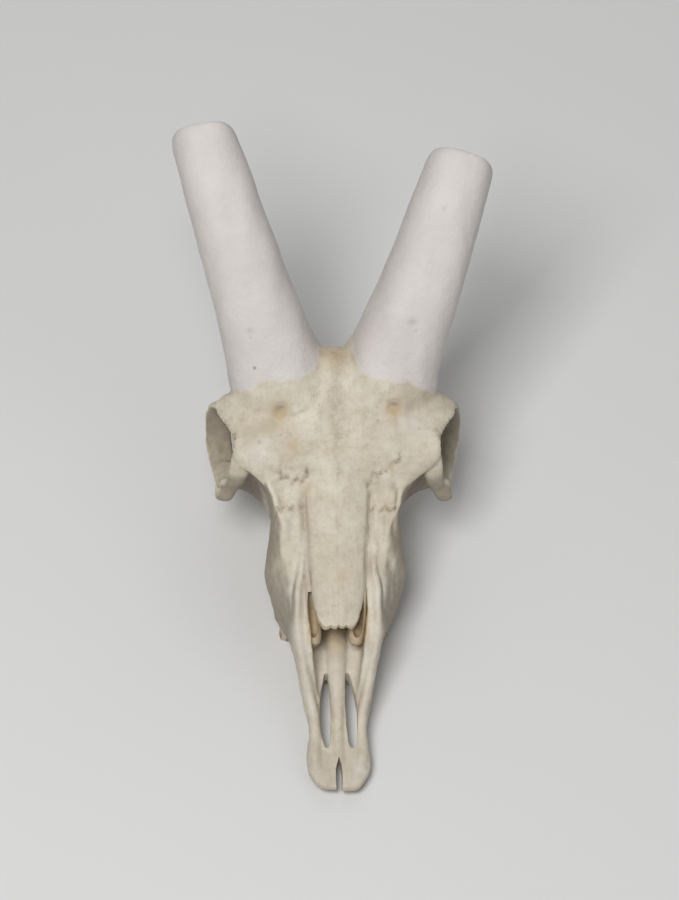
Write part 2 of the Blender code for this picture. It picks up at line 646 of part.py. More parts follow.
def faced_out(made):
    """Turns a mirrored object's faces out again."""
    bm = bmesh.new()
    bm.from_mesh(made.data)
    bmesh.ops.reverse_faces(bm, faces=bm.faces)
    bm.to_mesh(made.data)
    bm.free()
    return made


def nose_region(grow):
    """The space of the two nose bones."""
    def section(y):
        top, half = smooth(NOSE_TOP, y), smooth(NOSE_HALF, max(y, 96)) + NOSE_SUTURE_MARGIN + grow
        low = top - smooth(NOSE_DROP, y) - NOSE_SUTURE_DEPTH - grow
        return [(0, top + 30), (half, top + 30), (half + 0.01, low + 2), (half - 2, low), (0, low + 2.5)]
    return profile_loft("nose_region", (60, NOSE_SUTURE_BACK + grow), section, rings=24, around=24)


def beak_region(grow):
    """The space of the two premaxillae, before a slanted cut."""
    back = BEAK_SUTURE_Y + grow
    outline = [(-40, -60), (back - 70 * BEAK_SUTURE_SLOPE, -60), (back + 90 * BEAK_SUTURE_SLOPE, 100),
               (-40, 100)]
    return prism("beak_region", outline, "X", (-60, 60))


def vomer_region(grow):
    """The space of the bone that stands in the middle of the nose."""
    return limb("vomer_region", VOMER_ROUTE, [(a + grow, b + grow) for a, b in VOMER_RADII],
                rings=12, around=12)


def frontal_region(grow):
    """The space of the frontal bone, above and between the eyes."""
    outline = [(FRONTAL_FRONT - grow, smooth(FRONTAL_FLOOR, FRONTAL_FRONT) - grow),
               (200, smooth(FRONTAL_FLOOR, 200) - grow),
               (FRONTAL_BACK + grow, smooth(FRONTAL_FLOOR, FRONTAL_BACK) - grow),
               (FRONTAL_BACK + grow, 200), (FRONTAL_FRONT - grow, 200)]
    return prism("frontal_region", outline, "X", (-100, 100))


def cheekbone_region(side, grow):
    """The space of one cheekbone, outside the face and below the brow."""
    outline = [(side * (x - grow), y) for y, x in CHEEKBONE_INNER]
    front, back = CHEEKBONE_INNER[0][0], CHEEKBONE_INNER[-1][0] + grow
    outline[-1] = (outline[-1][0], back)
    outline += [(side * 110, back), (side * 110, front)]
    return prism("cheekbone_region", outline, "Z", (20, CHEEKBONE_TOP + grow))


def half_space(name, axis, side, start):
    """A large block on one side of a plane across an axis."""
    low, high = (start, FAR) if side > 0 else (-FAR, start)
    return prism(name, [(-FAR, -FAR), (FAR, -FAR), (FAR, FAR), (-FAR, FAR)], axis, (low, high))


def copied(name, source):
    """A copy of an object with its own mesh."""
    made = bpy.data.objects.new(name, source.data.copy())
    bpy.context.scene.collection.objects.link(made)
    return made


def parted(name, whole, region):
    """Takes what lies in a region out of the whole as a new object, with a thin gap between the two. The
    region is a function of how far its walls are moved out."""
    piece = cut(copied(name, whole), [region(-GAP / 2)], "INTERSECT")
    cut(whole, [region(GAP / 2)])
    return largest_part(piece)


def halved(name, whole):
    """The left and the right half of a part of the skull."""
    for side_name, side in SIDES.items():
        piece = copied(f"{name}_{side_name}", whole)
        cut(piece, [half_space("side", "X", side, side * GAP / 2)], "INTERSECT")
        largest_part(piece)
    bpy.data.objects.remove(whole)


def bones(whole):
    """Parts the whole skull into its bones."""
    for name, side in SIDES.items():
        parted(f"horn_core_{name}", whole, lambda grow, side=side: core_region(side, grow))
    halved("nasal", parted("nasal", whole, nose_region))
    parted("vomer", whole, vomer_region)
    halved("premaxilla", parted("premaxilla", whole, beak_region))
    parted("frontal", whole, frontal_region)
    for name, side in SIDES.items():
        parted(f"zygomatic_{name}", whole, lambda grow, side=side: cheekbone_region(side, grow))
    halved("maxilla", parted("maxilla", whole, lambda grow: half_space("face", "Y", -1, FACE_BACK + grow)))
    largest_part(whole)
    whole.name = "braincase"


def coloured(made, colour):
    """Gives an object its own plain material."""
    material = bpy.data.materials.new(made.name)
    material.use_nodes = True
    shader = material.node_tree.nodes["Principled BSDF"]
    shader.inputs["Base Color"].default_value = (*colour, 1)
    shader.inputs["Roughness"].default_value = 0.7
    made.data.materials.clear()
    made.data.materials.append(material)


def main():
    """Builds the skull, parts it into its named bones and stands it on the floor over the origin."""
    for made in list(bpy.data.objects):
        bpy.data.objects.remove(made)
    whole = whole_skull()
    largest_part(whole)
    faces = sum(len(face.vertices) - 2 for face in whole.data.polygons)
    modifier(whole, "DECIMATE", ratio=WHOLE_TRIANGLES / faces)
    cut(whole, [half_space("floor", "Z", -1, FLOOR_LEVEL)])
    bones(whole)
    made = [o for o in bpy.context.scene.objects if o.type == "MESH"]
    corners = [v.co for o in made for v in o.data.vertices]
    low = Vector([min(c[axis] for c in corners) for axis in range(3)])
    high = Vector([max(c[axis] for c in corners) for axis in range(3)])
    shift = Matrix.Translation((-(low.x + high.x) / 2, -(low.y + high.y) / 2, -low.z))
    home = bpy.data.collections.new("ibex_skull")
    bpy.context.scene.collection.children.link(home)
    for piece in made:
        piece.data.transform(shift)
        coloured(piece, CORE_WHITE if "core" in piece.name else BONE)
        bpy.context.scene.collection.objects.unlink(piece)
        home.objects.link(piece)


main()
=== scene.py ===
"""The looks of an ibex skull without its lower jaw, its two bare horn cores sawn short.

Every bone is modelled again here, finer than the solid it stands for: the whole skull is grown together from
rounded forms, hollowed, weathered and then parted along jagged sutures. Sizes are millimetres in the skull's
own frame: X to the animal's left, Y back from the tip of the snout, Z up from the chewing surface. At the end
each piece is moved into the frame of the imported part, in metres.
"""

import math
import random

import bmesh
import bpy
import numpy as np
from mathutils import Matrix, Quaternion, Vector, noise


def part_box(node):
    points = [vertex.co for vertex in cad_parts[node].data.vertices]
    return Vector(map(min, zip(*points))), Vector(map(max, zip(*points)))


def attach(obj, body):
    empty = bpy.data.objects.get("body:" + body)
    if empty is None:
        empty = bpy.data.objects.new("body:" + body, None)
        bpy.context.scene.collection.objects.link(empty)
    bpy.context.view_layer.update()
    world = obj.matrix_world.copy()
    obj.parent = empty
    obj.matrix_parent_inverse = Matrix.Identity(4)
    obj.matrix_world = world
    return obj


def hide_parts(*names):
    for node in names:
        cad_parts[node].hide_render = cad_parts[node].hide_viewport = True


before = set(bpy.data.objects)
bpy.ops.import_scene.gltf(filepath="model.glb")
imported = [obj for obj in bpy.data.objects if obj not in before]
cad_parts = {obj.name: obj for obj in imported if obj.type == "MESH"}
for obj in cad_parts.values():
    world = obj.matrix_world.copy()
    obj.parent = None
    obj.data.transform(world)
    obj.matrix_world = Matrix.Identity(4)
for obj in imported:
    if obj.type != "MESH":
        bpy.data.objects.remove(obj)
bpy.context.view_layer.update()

MM = 0.001
VOXEL = 0.85
FINE = 2
FAR = 400.0
SHARP_ANGLE = 50.0
SIDES = {"left": 1, "right": -1}

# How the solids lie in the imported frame: the nose bones meet at the middle plane and end at a known place.
CAD_GAP = 0.3
FLOOR_LEVEL = 1.4
NOSE_SUTURE_BACK = 168.0
nasal_low, nasal_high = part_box("nasal_left")
SHIFT = Vector((nasal_low.x / MM - CAD_GAP / 2,
                nasal_high.y / MM - (NOSE_SUTURE_BACK - CAD_GAP / 2),
                -FLOOR_LEVEL))

# The roof of the face, from the ends of the nose bones to the crown between the horn cores.
ROOF_TOP = [(56, 24), (66, 34), (85, 54), (96, 59), (118, 68.5), (133, 74.5), (155, 83.5), (165, 88.5),
            (182, 100)]
ROOF_HALF = [(60, 11), (85, 13), (106, 15), (133, 16.5), (155, 18), (182, 22)]
SHOULDER_X = [(60, 18.5), (80, 23), (87.6, 25.8), (94.5, 26.4), (106, 26.4), (121, 26.4), (133, 28.5),
              (148, 34), (159.5, 38.8), (168, 43.5), (175, 52), (182, 56)]
SHOULDER_Z = [(60, 22), (70, 29), (80, 37), (87.6, 42), (94.5, 47), (106, 55), (121, 62), (133, 70),
              (148, 79), (159.5, 84), (168, 87), (182, 98)]
CREST_X = [(60, 18.5), (72, 22), (82, 24.6), (90, 26), (99, 29.3), (106, 32.8), (113, 35.8), (120, 38),
           (127, 40.2), (132, 40.9), (141, 39.7), (148, 38.3), (156, 37), (165, 36), (182, 38)]
CREST_Z = [(60, 18), (72, 25), (82, 31), (99, 32), (113, 36), (132, 42), (148, 45), (182, 47)]
GUM_X = [(60, 16), (80, 19), (99, 22.5), (108, 27.5), (118, 31), (135, 33), (155, 32.5), (182, 26)]
GUM_Z = [(60, 14), (80, 11), (155, 11), (170, 24), (182, 34)]
PALATE_Z = [(60, 15), (80, 17), (120, 21), (155, 25), (182, 42)]
SNOUT_SPAN = (56, 182)

# The frontal shield over the eyes and the rise to the crown.
BROW_TOP = [(160, 82), (172, 94), (185, 103.5), (200, 111.5), (214, 118), (226, 121), (238, 117)]
BROW_HALF = [(160, 36), (168, 50), (173, 58), (177, 60), (180, 60), (184, 60), (190, 62.3), (197, 66.0),
             (204, 69.4), (211, 69.8), (216, 65.8), (223, 55.8), (238, 42)]
BROW_EDGE_Z = [(160, 78.5), (168, 89.5), (176, 97), (184, 101.5), (197, 101), (211, 97.5), (223, 97),
               (238, 92)]
BROW_THICK = [(160, 8), (176, 8), (200, 11), (238, 16)]

# The eye socket: a ring that faces sideways, a little forward and up.
SOCKET_CENTRE = Vector((68.2, 194.5, 77.5))
SOCKET_FORWARD = 0.25
SOCKET_UP = 0.11
SOCKET_OUTER = 26.0
SOCKET_DEPTH = 46.0
BROW_RECESS = 8.0
RING_WALL = [(0, 4.4), (40, 5.5), (75, 6.6), (110, 6.4), (150, 4.5), (190, 5.0), (235, 4.8), (265, 4.3),
             (320, 4.0), (360, 4.4)]
RING_WIDTH = [(0, 15), (30, 15), (45, 17), (75, 21), (110, 21), (135, 16), (160, 12), (200, 10), (235, 9),
              (265, 12), (290, 15.5), (320, 15.5), (345, 15), (360, 15)]
CORNER_REACH = 6.0
CORNER_PUSH = 4.8
CORNER_ANGLE = 217.0
CORNER_SPREAD = 12.0
SOCKET_CORNER = Vector((63, 174.5, 67.5))
SOCKET_CORNER_RADII = Vector((4, 3.9, 5.2))

# The wall before the socket, going out from the face: its upper ridge and the chewing muscle's edge.
CHEEK_X = (28, 67.5)
CHEEK_RIDGE_Y = [(28, 134), (34.8, 148.4), (38.9, 159.5), (43.5, 167.8), (49.9, 172), (58.6, 174),
                 (67.5, 175.5)]
CHEEK_RIDGE_Z = [(28, 71), (34.8, 80), (38.9, 84), (43.5, 86), (49.9, 85), (58.6, 80), (67.5, 63)]
CHEEK_EDGE_Y = [(28, 146), (36.3, 164.2), (38.7, 171.9), (43.8, 179.7), (49.6, 184.6), (57.2, 186.7),
                (67.5, 183)]
CHEEK_EDGE_Z = [(28, 42), (43.8, 44), (57.2, 47), (67.5, 56)]
CHEEK_HOLLOW = [(38, 3.0), (52, -0.5)]
CHEEK_BACK = 198.0

# The braincase and the back of the head.
BRAIN_CENTRE = Vector((0, 214, 78))
BRAIN_RADII = Vector((36, 45, 35))
CROWN_CENTRE = Vector((0, 223, 107))
CROWN_RADII = Vector((36, 20, 13))
NAPE_CENTRE = Vector((0, 248, 62))
NAPE_RADII = Vector((43, 12, 28))
CONDYLE_CENTRE = Vector((13, 261, 43))
CONDYLE_RADII = Vector((8.5, 9, 12))
CANAL_CENTRE = Vector((0, 268, 48))
CANAL_RADII = Vector((9.5, 22, 9))

# The horn cores, each a shaft that leans out, curves back and is sawn off, and the tilt of the saw cut.
CORE_FOOT = Vector((32.4, 232, 103))
CORE_SPREAD = {"right": 1.1, "left": 0.0}
CORE_LEAN = 0.318
CORE_RISE = 62.0
CORE_BEND = 32.0 / 150.0
CORE_LENGTHS = {"right": 141.5, "left": 126.2}
CORE_HALF_WIDTH = [(-14, 29.5), (0, 28.4), (10, 26.6), (26, 24.8), (60, 22.8), (140, 18.4)]
CORE_HALF_DEPTH = [(-14, 36), (0, 33), (12, 30.5), (30, 28.8), (140, 22)]
CORE_SQUARENESS = 2.5
CORE_SUNK = 14.0
SAW_TILT = 16.0
SAW_SLANT = {"right": 9.0, "left": 0.0}

# The nose bones, an arched roof that overhangs the opening of the nose.
NOSE_SPAN = (84.3, 171)
NOSE_TOP = [(85, 55.5), (96, 61.5), (106, 66), (118, 71), (133, 77), (155, 86), (165, 91), (171, 94)]
NOSE_HALF = [(84, 8.6), (88, 11.4), (92, 12.6), (96, 13.5), (106, 15.3), (118, 16.4), (133, 17),
             (155, 18.4), (171, 18.6)]
NOSE_DROP = [(85, 2.5), (96, 5), (106, 6), (171, 6.0)]
NOSE_THICK = 2.8

# The scalloped front edge of the nose bones, seen from above, from the middle line out.
NOSE_TIP = [(0, 86.4), (1.4, 85.5), (3.0, 85.7), (4.4, 86.6), (5.8, 85.9), (7.6, 85.9), (9.0, 86.9),
            (10.4, 89.0), (11.8, 92), (12.9, 95.5), (14.2, 98.5)]

# The opening of the nose, cut down into the snout and then under the nose bones.
HOLLOW_SPAN = (0, 142)
HOLLOW_HALF = [(0, 11), (46, 11), (60, 12.5), (72, 14), (85, 15.8), (100, 17.2), (112, 16.5), (142, 8)]
HOLLOW_FLOOR = [(0, 17.5), (46, 17.5), (60, 18), (80, 21), (112, 27), (142, 46)]
HOLLOW_ROOF = [(0, 130), (112, 130), (120, 66), (142, 72)]

# The premaxillae: the flat beak, its side bars and the slit between its tips.
BEAK_SPAN = (6, 72)
BEAK_HALF = [(6, 8.4), (7.5, 11.4), (9.5, 13.4), (13, 15.9), (17, 17.7), (24, 18.4), (32, 17.2),
             (39.5, 16.4), (47, 17), (53.5, 18.6), (60, 19.8), (72, 22.4)]
BEAK_MIDDLE_Z = [(6, 9), (20, 9.5), (40, 12), (72, 16)]
BEAK_THICK = [(6, 2.0), (10, 3.4), (19, 4.0), (40, 3.0), (72, 2.6)]
BAR_ROUTE = [(12.5, 17, 11), (13.8, 29, 12.5), (13, 40, 14.5), (14, 50, 18), (16.4, 60, 22), (19.2, 72, 29),
             (21.6, 83, 37), (22.8, 94, 45), (22.5, 106, 53), (20.4, 118, 60.5), (18.6, 129, 66.5),
             (17.4, 140, 72)]
BAR_RADII = [(3.6, 3.0), (3.4, 3.2), (3.2, 3.4), (3.2, 4.0), (3.3, 5.0), (3.4, 6.0), (3.5, 7), (3.5, 6.5),
             (3.2, 6.0), (2.6, 3.6), (1.6, 2.0), (0.8, 0.9)]
MIDDLE_BAR_ROUTE = [(0, 18, 10), (0, 40, 13.5), (0, 66, 18), (0, 100, 24), (0, 128, 34)]
MIDDLE_BAR_RADII = [(3.6, 3.4), (3.2, 3.4), (4.6, 4), (6.6, 6), (6, 8)]
SLIT_HALF_WIDTH = [(0, 1.9), (9, 1.8), (15, 1.9), (19, 1.5), (22.5, 0.7), (25, 0.25)]
SLIT_SPAN = (0, 25)
FISSURE_HALF_WIDTH = [(30, 1.1), (31.5, 1.9), (34, 2.5), (41, 3.0), (50, 3.2), (58, 3.0), (68, 2.0),
                      (76, 0.8)]
FISSURE_X = [(30, 7.2), (40, 7.5), (54, 7.4), (76, 6.1)]
FISSURE_SPAN = (30, 76)
FISSURE_LEAN = 0.8

# The cheek teeth, front to back: length along the row, half width, and where the row stands.
TEETH = [(8.0, 1.8), (8.6, 3.4), (9.4, 4.4), (12.4, 6.3), (15.6, 7.0), (18.6, 7.0)]
ROW_FRONT = 83.0
ROW_X = [(83, 13.5), (95, 16.8), (104, 19.6), (115, 24.3), (129, 26.3), (156, 26)]
ROW_TOP = 16.0
TOOTH_SPACE = 0.5

# The processes beside the neck joint, which reach the floor.
PROCESS_ROUTE = [(32, 252, 52), (33, 253, 34), (31, 251, 18), (29, 248, 6), (28.5, 247.5, 0)]
PROCESS_RADII = [(8, 8), (5.5, 7.5), (4, 6.2), (3.4, 5), (3.2, 4.4)]

# The scrolls of thin bone inside the nose, open above and in front, and how far both stand to the right.
SCROLL_ROUTE = [(12.0, 85.5, 34), (12.1, 87, 35), (12.4, 91, 40), (13.0, 97, 46), (14.6, 106, 52),
                (15.8, 118, 58.5), (16.6, 129, 64)]
SCROLL_RADII = [(1.0, 1.4), (3.6, 4.2), (4.7, 6.4), (4.8, 7.2), (3.6, 7.4), (2.6, 6), (1.4, 3.5)]
SCROLL_OPENING = [(12.2, 88.2, 39.5), (12.4, 91, 45), (13, 97, 52), (14.6, 106, 60)]
SCROLL_OPENING_RADII = [(1.2, 2.2), (3.0, 6.4), (3.2, 7.4), (1.2, 4)]
SCROLL_SHIFT = 1.35

# Where the bones meet, as jagged lines seen from above, and how far apart the pieces stand.
SUTURE_GAP = 0.04
SUTURE_STEP = 1.5
SUTURE_SWING = 0.9
CORE_BASE_RISE = 9.0
NOSE_SUTURE_DEPTH = 5.0
NOSE_SUTURE_MARGIN = 0.5
BEAK_SUTURE_Y = 44.0
BEAK_SUTURE_SLOPE = 1.3
VOMER_ROUTE = [(0, 70, 24), (0, 100, 30), (0, 126, 38)]
VOMER_RADII = [(6, 8), (7.4, 9), (6.6, 10)]
FRONTAL_FRONT = [(0, 170), (10, 169), (19, 166), (26, 168), (33, 172), (45, 174), (58, 176), (80, 178)]
FRONTAL_BACK = 238.0
FRONTAL_FLOOR = [(160, 85), (200, 87), (238, 90)]
CHEEKBONE_INNER = [(150, 47), (190, 47), (204, 56.5), (226, 56.5)]
CHEEKBONE_TOP = 88.0
FACE_BACK = 181.0

# The worn edge of the brow over the eye, seen from above, and its teeth.
MARGIN = [(75, 212.5), (73.0, 209), (70.2, 204.5), (66.2, 198.5), (62.8, 193), (59.8, 187), (58.4, 182),
          (59.2, 178), (62.5, 175)]
MARGIN_STEP = 1.7
MARGIN_SWING = 1.1

# The edge of the white coat: how high it starts along a core, in mm above the foot, at distances from the
# middle plane, how soft the edge is and how far it wanders.
COAT_START = [(8, 9), (9, 7), (11, 6), (13, 3), (16, 2.5), (26, 5), (30, 5), (39, 8), (45, 7), (50, 4.5),
              (61, 1), (80, 0)]
COAT_BLUR = 1.3
COAT_WOBBLE = 2.2

# How many rounds of evening out soften the bars beside the nose and the feet of the horn cores, and how many
# tell how deep a point lies in a hollow.
BAR_EASING = 14
FOOT_EASING = 36
HOLLOW_EASING = 16

# How high or deep the relief of the surface is, in mm.
RELIEF = {"lumps": 0.8, "small lumps": 0.3, "core ribs": 0.6, "face ribs": 1.1, "brow ribs": 0.7,
          "nose groove": 0.9, "nose ridge": 0.5, "nose seam": 0.3, "brow trough": 0.7, "hole gutter": 0.8,
          "sponge": 1.6, "sponge pits": 1.1}

# How much of its colour the brown has in each place, and the tan stain.
# The brown is painted shade in the socket, on the ring, before the eye and on the flanks.
DIRT_AND_SHADE = {"hollows": 0.42, "hole": 0.4, "seams": 0.12, "middle seam": 0.10, "spots": 0.42, "nose groove": 0.14,
        "socket": 0.25, "ring": 0.56, "before the eye": 0.52, "flank_shade": 0.56, "beak": 0.10, "bars": 0.04,
        "pin hole": 0.9, "core pits": 0.20}
TAN_STAIN = {"seams": 0.30, "inside the nose": 0.85, "trough": 0.12, "sponge": 0.35}

# Marks on the surface: the holes over the eyes, the seams seen from above, spots, pale places, stains and
# dents. A mark is a place in mm, its reach in mm, and its strength or its depth.
BROW_HOLES = [(-32.3, 196.2), (32.9, 197.4)]
BROW_HOLE_HALF = (3.9, 2.7)
BROW_HOLE_DEPTH = 1.7
SEAMS = [[(-36, 147), (-31, 149), (-25, 151.4), (-19.1, 153.5)], [(20.5, 151.5), (26, 150.8), (33, 149)],
         [(-17.6, 169), (-18.6, 163.5), (-24, 164.0), (-30, 165.5), (-37, 169)],
         [(17.8, 162.5), (20, 166), (25, 167.2), (31, 169.5), (38, 174)]]
SEAM_HALF_WIDTH = 1.25
SEAM_STEP = 2.6
SEAM_SWING = 1.5
SEAM_DEPTH = 0.35
EDGE_SEAMS = [[(-58, 186), (-60, 181), (-61, 176)], [(57, 188), (60, 181), (61, 175)]]
MIDDLE_SEAM = [(0.4, 168), (-0.6, 180), (0.5, 188), (-0.4, 196), (0.7, 204), (-0.3, 212), (0.4, 222)]
CROWN_CRACKS = (0, 229, 121)
SPOTS = [(-44.4, 180.6, 1.0), (23.2, 192.2, 1.0), (-17.5, 167.5, 0.9), (47, 188, 0.7)]
# Pale places. The two in the nose's trough, at (0, 72, 22) and (-9, 82, 25), are painted light that lifts its
# shade.
PALE_PLACES = [((-18, 121, 63), 5, 0.55), ((43, 191, 105), 11, 0.42), ((0, 72, 22), 20, 0.5),
               ((-9, 82, 25), 8, 0.3), ((-20, 132, 70), 5, 0.4), ((-44, 176, 98), 9, 0.35),
               ((36, 178, 98), 8, 0.3), ((-27, 141, 74), 6, 0.3), ((26, 141, 74), 5, 0.25),
               ((-20, 82, 38), 15, 0.4), ((20, 82, 38), 15, 0.35), ((-22, 106, 56), 12, 0.35),
               ((22, 106, 56), 12, 0.3), ((-15, 52, 20), 11, 0.3), ((15, 52, 20), 11, 0.3),
               ((-13, 16, 12), 8, 0.3), ((13, 16, 12), 8, 0.35)]
STAINS = [((-25, 179, 100), 3.4, 0.75), ((-27, 172, 96), 3.0, 0.4), ((1.2, 112, 68), 4.5, 0.35),
          ((0, 230, 121), 8.0, 0.55), ((-3, 222, 119), 3.5, 0.5), ((-17, 160, 84), 3.2, 0.45),
          ((-21, 163.5, 87), 2.4, 0.5), ((31, 170, 93), 2.0, 0.5), ((28, 152, 79), 2.4, 0.4),
          ((-45, 206, 104), 8.0, 0.28), ((45, 204, 104), 8.0, 0.22), ((-32.3, 192, 107), 6.5, 0.42),
          ((32.9, 193, 107), 5.0, 0.36), ((0, 180, 101), 12, 0.14),
          ((0, 84, 34), 9, 0.3)]
CORE_PITS = [((-50.4, 225.4, 145.6), 2.2, 1.0), ((42.7, 228.5, 150.2), 2.4, 1.1),
             ((59.5, 275.7, 195.7), 1.6, 0.5), ((44.4, 226.6, 146.4), 1.5, 0.9),
             ((45.2, 225.2, 143.0), 1.3, 0.7), ((-49.9, 224.0, 142.8), 1.3, 0.7)]
CORE_HOLLOWS = [((-30, 262, 178), 3.0, 0.4), ((-55, 250, 160), 3.5, 0.5)]
PIN_HOLE = (-47.3, 213.3, 128.5)

# The photograph's camera, in the skull's frame.
CAMERA_TARGET = Vector((2.8, 192.3, 77.0))
CAMERA_AZIMUTH = -5.5
CAMERA_ELEVATION = 55.0
CAMERA_ROLL = 4.5
CAMERA_DISTANCE = 2.2
CAMERA_FRAME_HEIGHT = 0.520


def smooth(knots, at):
    """The value at a place, read from (place, value) knots by a curve that never overshoots them."""
    if at <= knots[0][0]:
        return knots[0][1]
    if at >= knots[-1][0]:
        return knots[-1][1]
    i = next(k for k in range(len(knots) - 1) if at < knots[k + 1][0])

    def slope(k):
        k = max(0, min(len(knots) - 2, k))
        return (knots[k + 1][1] - knots[k][1]) / (knots[k + 1][0] - knots[k][0])

    def tangent(k):
        before, after = slope(k - 1), slope(k)
        return 0 if before * after <= 0 else 2 * before * after / (before + after)

    span = knots[i + 1][0] - knots[i][0]
    t = (at - knots[i][0]) / span
    start, end = knots[i][1], knots[i + 1][1]
    m0, m1 = tangent(i) * span, tangent(i + 1) * span
    return ((2 * t**3 - 3 * t**2 + 1) * start + (t**3 - 2 * t**2 + t) * m0
            + (3 * t**2 - 2 * t**3) * end + (t**3 - t**2) * m1)


def along(points, share):
    """A point on the smooth line through a list of points, from share 0 at the first to 1 at the last."""
    count = len(points) - 1
    return Vector([smooth([(i / count, p[axis]) for i, p in enumerate(points)], share)
                   for axis in range(len(points[0]))])


def linked(name, data):
    """A new object in the scene for its data."""
    made = bpy.data.objects.new(name, data)
    bpy.context.scene.collection.objects.link(made)
    return made


def new_object(name, bm):
    """An object from a bmesh, with its faces pointing out."""
    bmesh.ops.recalc_face_normals(bm, faces=bm.faces)
    if bm.calc_volume(signed=True) < 0:
        bmesh.ops.reverse_faces(bm, faces=bm.faces)
    mesh = bpy.data.meshes.new(name)
    bm.to_mesh(mesh)
    bm.free()
    return linked(name, mesh)


def loft(name, place, rings=24, around=32):
    """A closed form from a UV sphere whose rings become sections: place(share, turn) is a point of the
    surface, with share from 0 to 1 along it and turn from 0 to 1 around it."""
    bm = bmesh.new()
    bmesh.ops.create_uvsphere(bm, u_segments=around, v_segments=rings + 1, radius=1)
    for vert in bm.verts:
        ring = round(math.acos(max(-1, min(1, vert.co.z))) / math.pi * (rings + 1))
        share = min(1, max(0, (ring - 1) / (rings - 1)))
        if ring in (0, rings + 1):
            vert.co = sum((place(share, k / around) for k in range(around)), Vector()) / around
        else:
            vert.co = place(share, round(math.atan2(vert.co.y, vert.co.x) / math.tau * around) / around % 1)
    return new_object(name, bm)


def profile_loft(name, span, section, rings=24, around=40):
    """A loft along Y whose sections are alike on both sides: section(y) lists (x, z) points from the top of
    the middle line, round the +X side, to the bottom of the middle line."""
    def place(share, turn):
        y = span[0] + (span[1] - span[0]) * share
        side = 1 if turn <= 0.5 else -1
        x, z = along(section(y), 1 - abs(1 - 2 * turn) if turn > 0.5 else 2 * turn)
        return Vector((side * max(0, x), y, z))
    return loft(name, place, rings, around)


def egg(name, centre, radii, turn=0, size=24):
    """An ellipsoid, turned about X by an angle in degrees."""
    bm = bmesh.new()
    bmesh.ops.create_uvsphere(bm, u_segments=size * FINE, v_segments=size * FINE // 2, radius=1)
    tilt = Matrix.Rotation(math.radians(turn), 4, "X")
    place = Matrix.Translation(centre) @ tilt @ Matrix.Diagonal((*radii, 1))
    bmesh.ops.transform(bm, matrix=place, verts=bm.verts)
    return new_object(name, bm)


def limb(name, route, radii, rings=20, around=16):
    """A rounded bar along a route, with two half sizes at each of its points: sideways, and upright, or from
    front to back where the route mostly rises or falls."""
    reach = Vector(route[-1]) - Vector(route[0])
    steady = Vector((0, 1, 0)) if abs(reach.z) > abs(reach.y) else Vector((0, 0, 1))

    def place(share, turn):
        here = along(route, share)
        ahead = (along(route, min(1, share + 0.02)) - along(route, max(0, share - 0.02))).normalized()
        upright = (steady - ahead * steady.dot(ahead)).normalized()
        sideways = upright.cross(ahead)
        half = along(radii, share)
        angle = turn * math.tau
        return here + sideways * half[0] * math.cos(angle) + upright * half[1] * math.sin(angle)
    return loft(name, place, rings * FINE, around * FINE)


def mirrored(route, side):
    """A route or a centre on the side asked for: 1 is the animal's left, at +X."""
    if isinstance(route, Vector):
        return Vector((route.x * side, route.y, route.z))
    return [(p[0] * side, *p[1:]) for p in route]


def snout():
    """The solid face from the beak's root to the sockets."""
    def section(y):
        top, roof = smooth(ROOF_TOP, y), smooth(ROOF_HALF, y)
        shoulder = (smooth(SHOULDER_X, y), smooth(SHOULDER_Z, y))
        crest = (smooth(CREST_X, y), smooth(CREST_Z, y))
        gum = (smooth(GUM_X, y), smooth(GUM_Z, y))
        palate = smooth(PALATE_Z, y)
        inner = (gum[0] - 12, min(palate, gum[1] + 1))
        return [(0, top), (roof * 0.55, top - 1.5), (roof, top - 6), shoulder, crest, gum, inner,
                (gum[0] - 18, palate), (0, palate)]
    return profile_loft("snout", SNOUT_SPAN, section, rings=40 * FINE, around=56 * FINE)


def brow():
    """The frontal bones between and behind the eyes."""
    def section(y):
        top, half = smooth(BROW_TOP, y), smooth(BROW_HALF, y)
        edge, thick = smooth(BROW_EDGE_Z, y), smooth(BROW_THICK, y)
        bulge = edge + (top - edge) * 0.72
        return [(0, top), (half * 0.5, bulge + 1), (half - 4, edge + 2), (half, edge - 1),
                (half - 3, edge - 4), (half * 0.5, edge - thick * 0.8), (0, edge - thick)]
    span = (BROW_TOP[0][0], BROW_TOP[-1][0])
    return profile_loft("brow", span, section, rings=30 * FINE, around=44 * FINE)


def socket_point(side, angle, radius, inward):
    """A point round the eye socket: 0 degrees is its back, 90 its top, and inward is towards the middle."""
    y = math.cos(math.radians(angle)) * radius
    z = math.sin(math.radians(angle)) * radius
    x = SOCKET_CENTRE.x + SOCKET_FORWARD * y - SOCKET_UP * z - inward
    return Vector((side * x, SOCKET_CENTRE.y + y, SOCKET_CENTRE.z + z))


def rim_recess(angle):
    """How far the brow stands in from the socket's plane at an angle round it."""
    return BROW_RECESS * math.exp(-((angle % 360 - 104) / 29) ** 2)


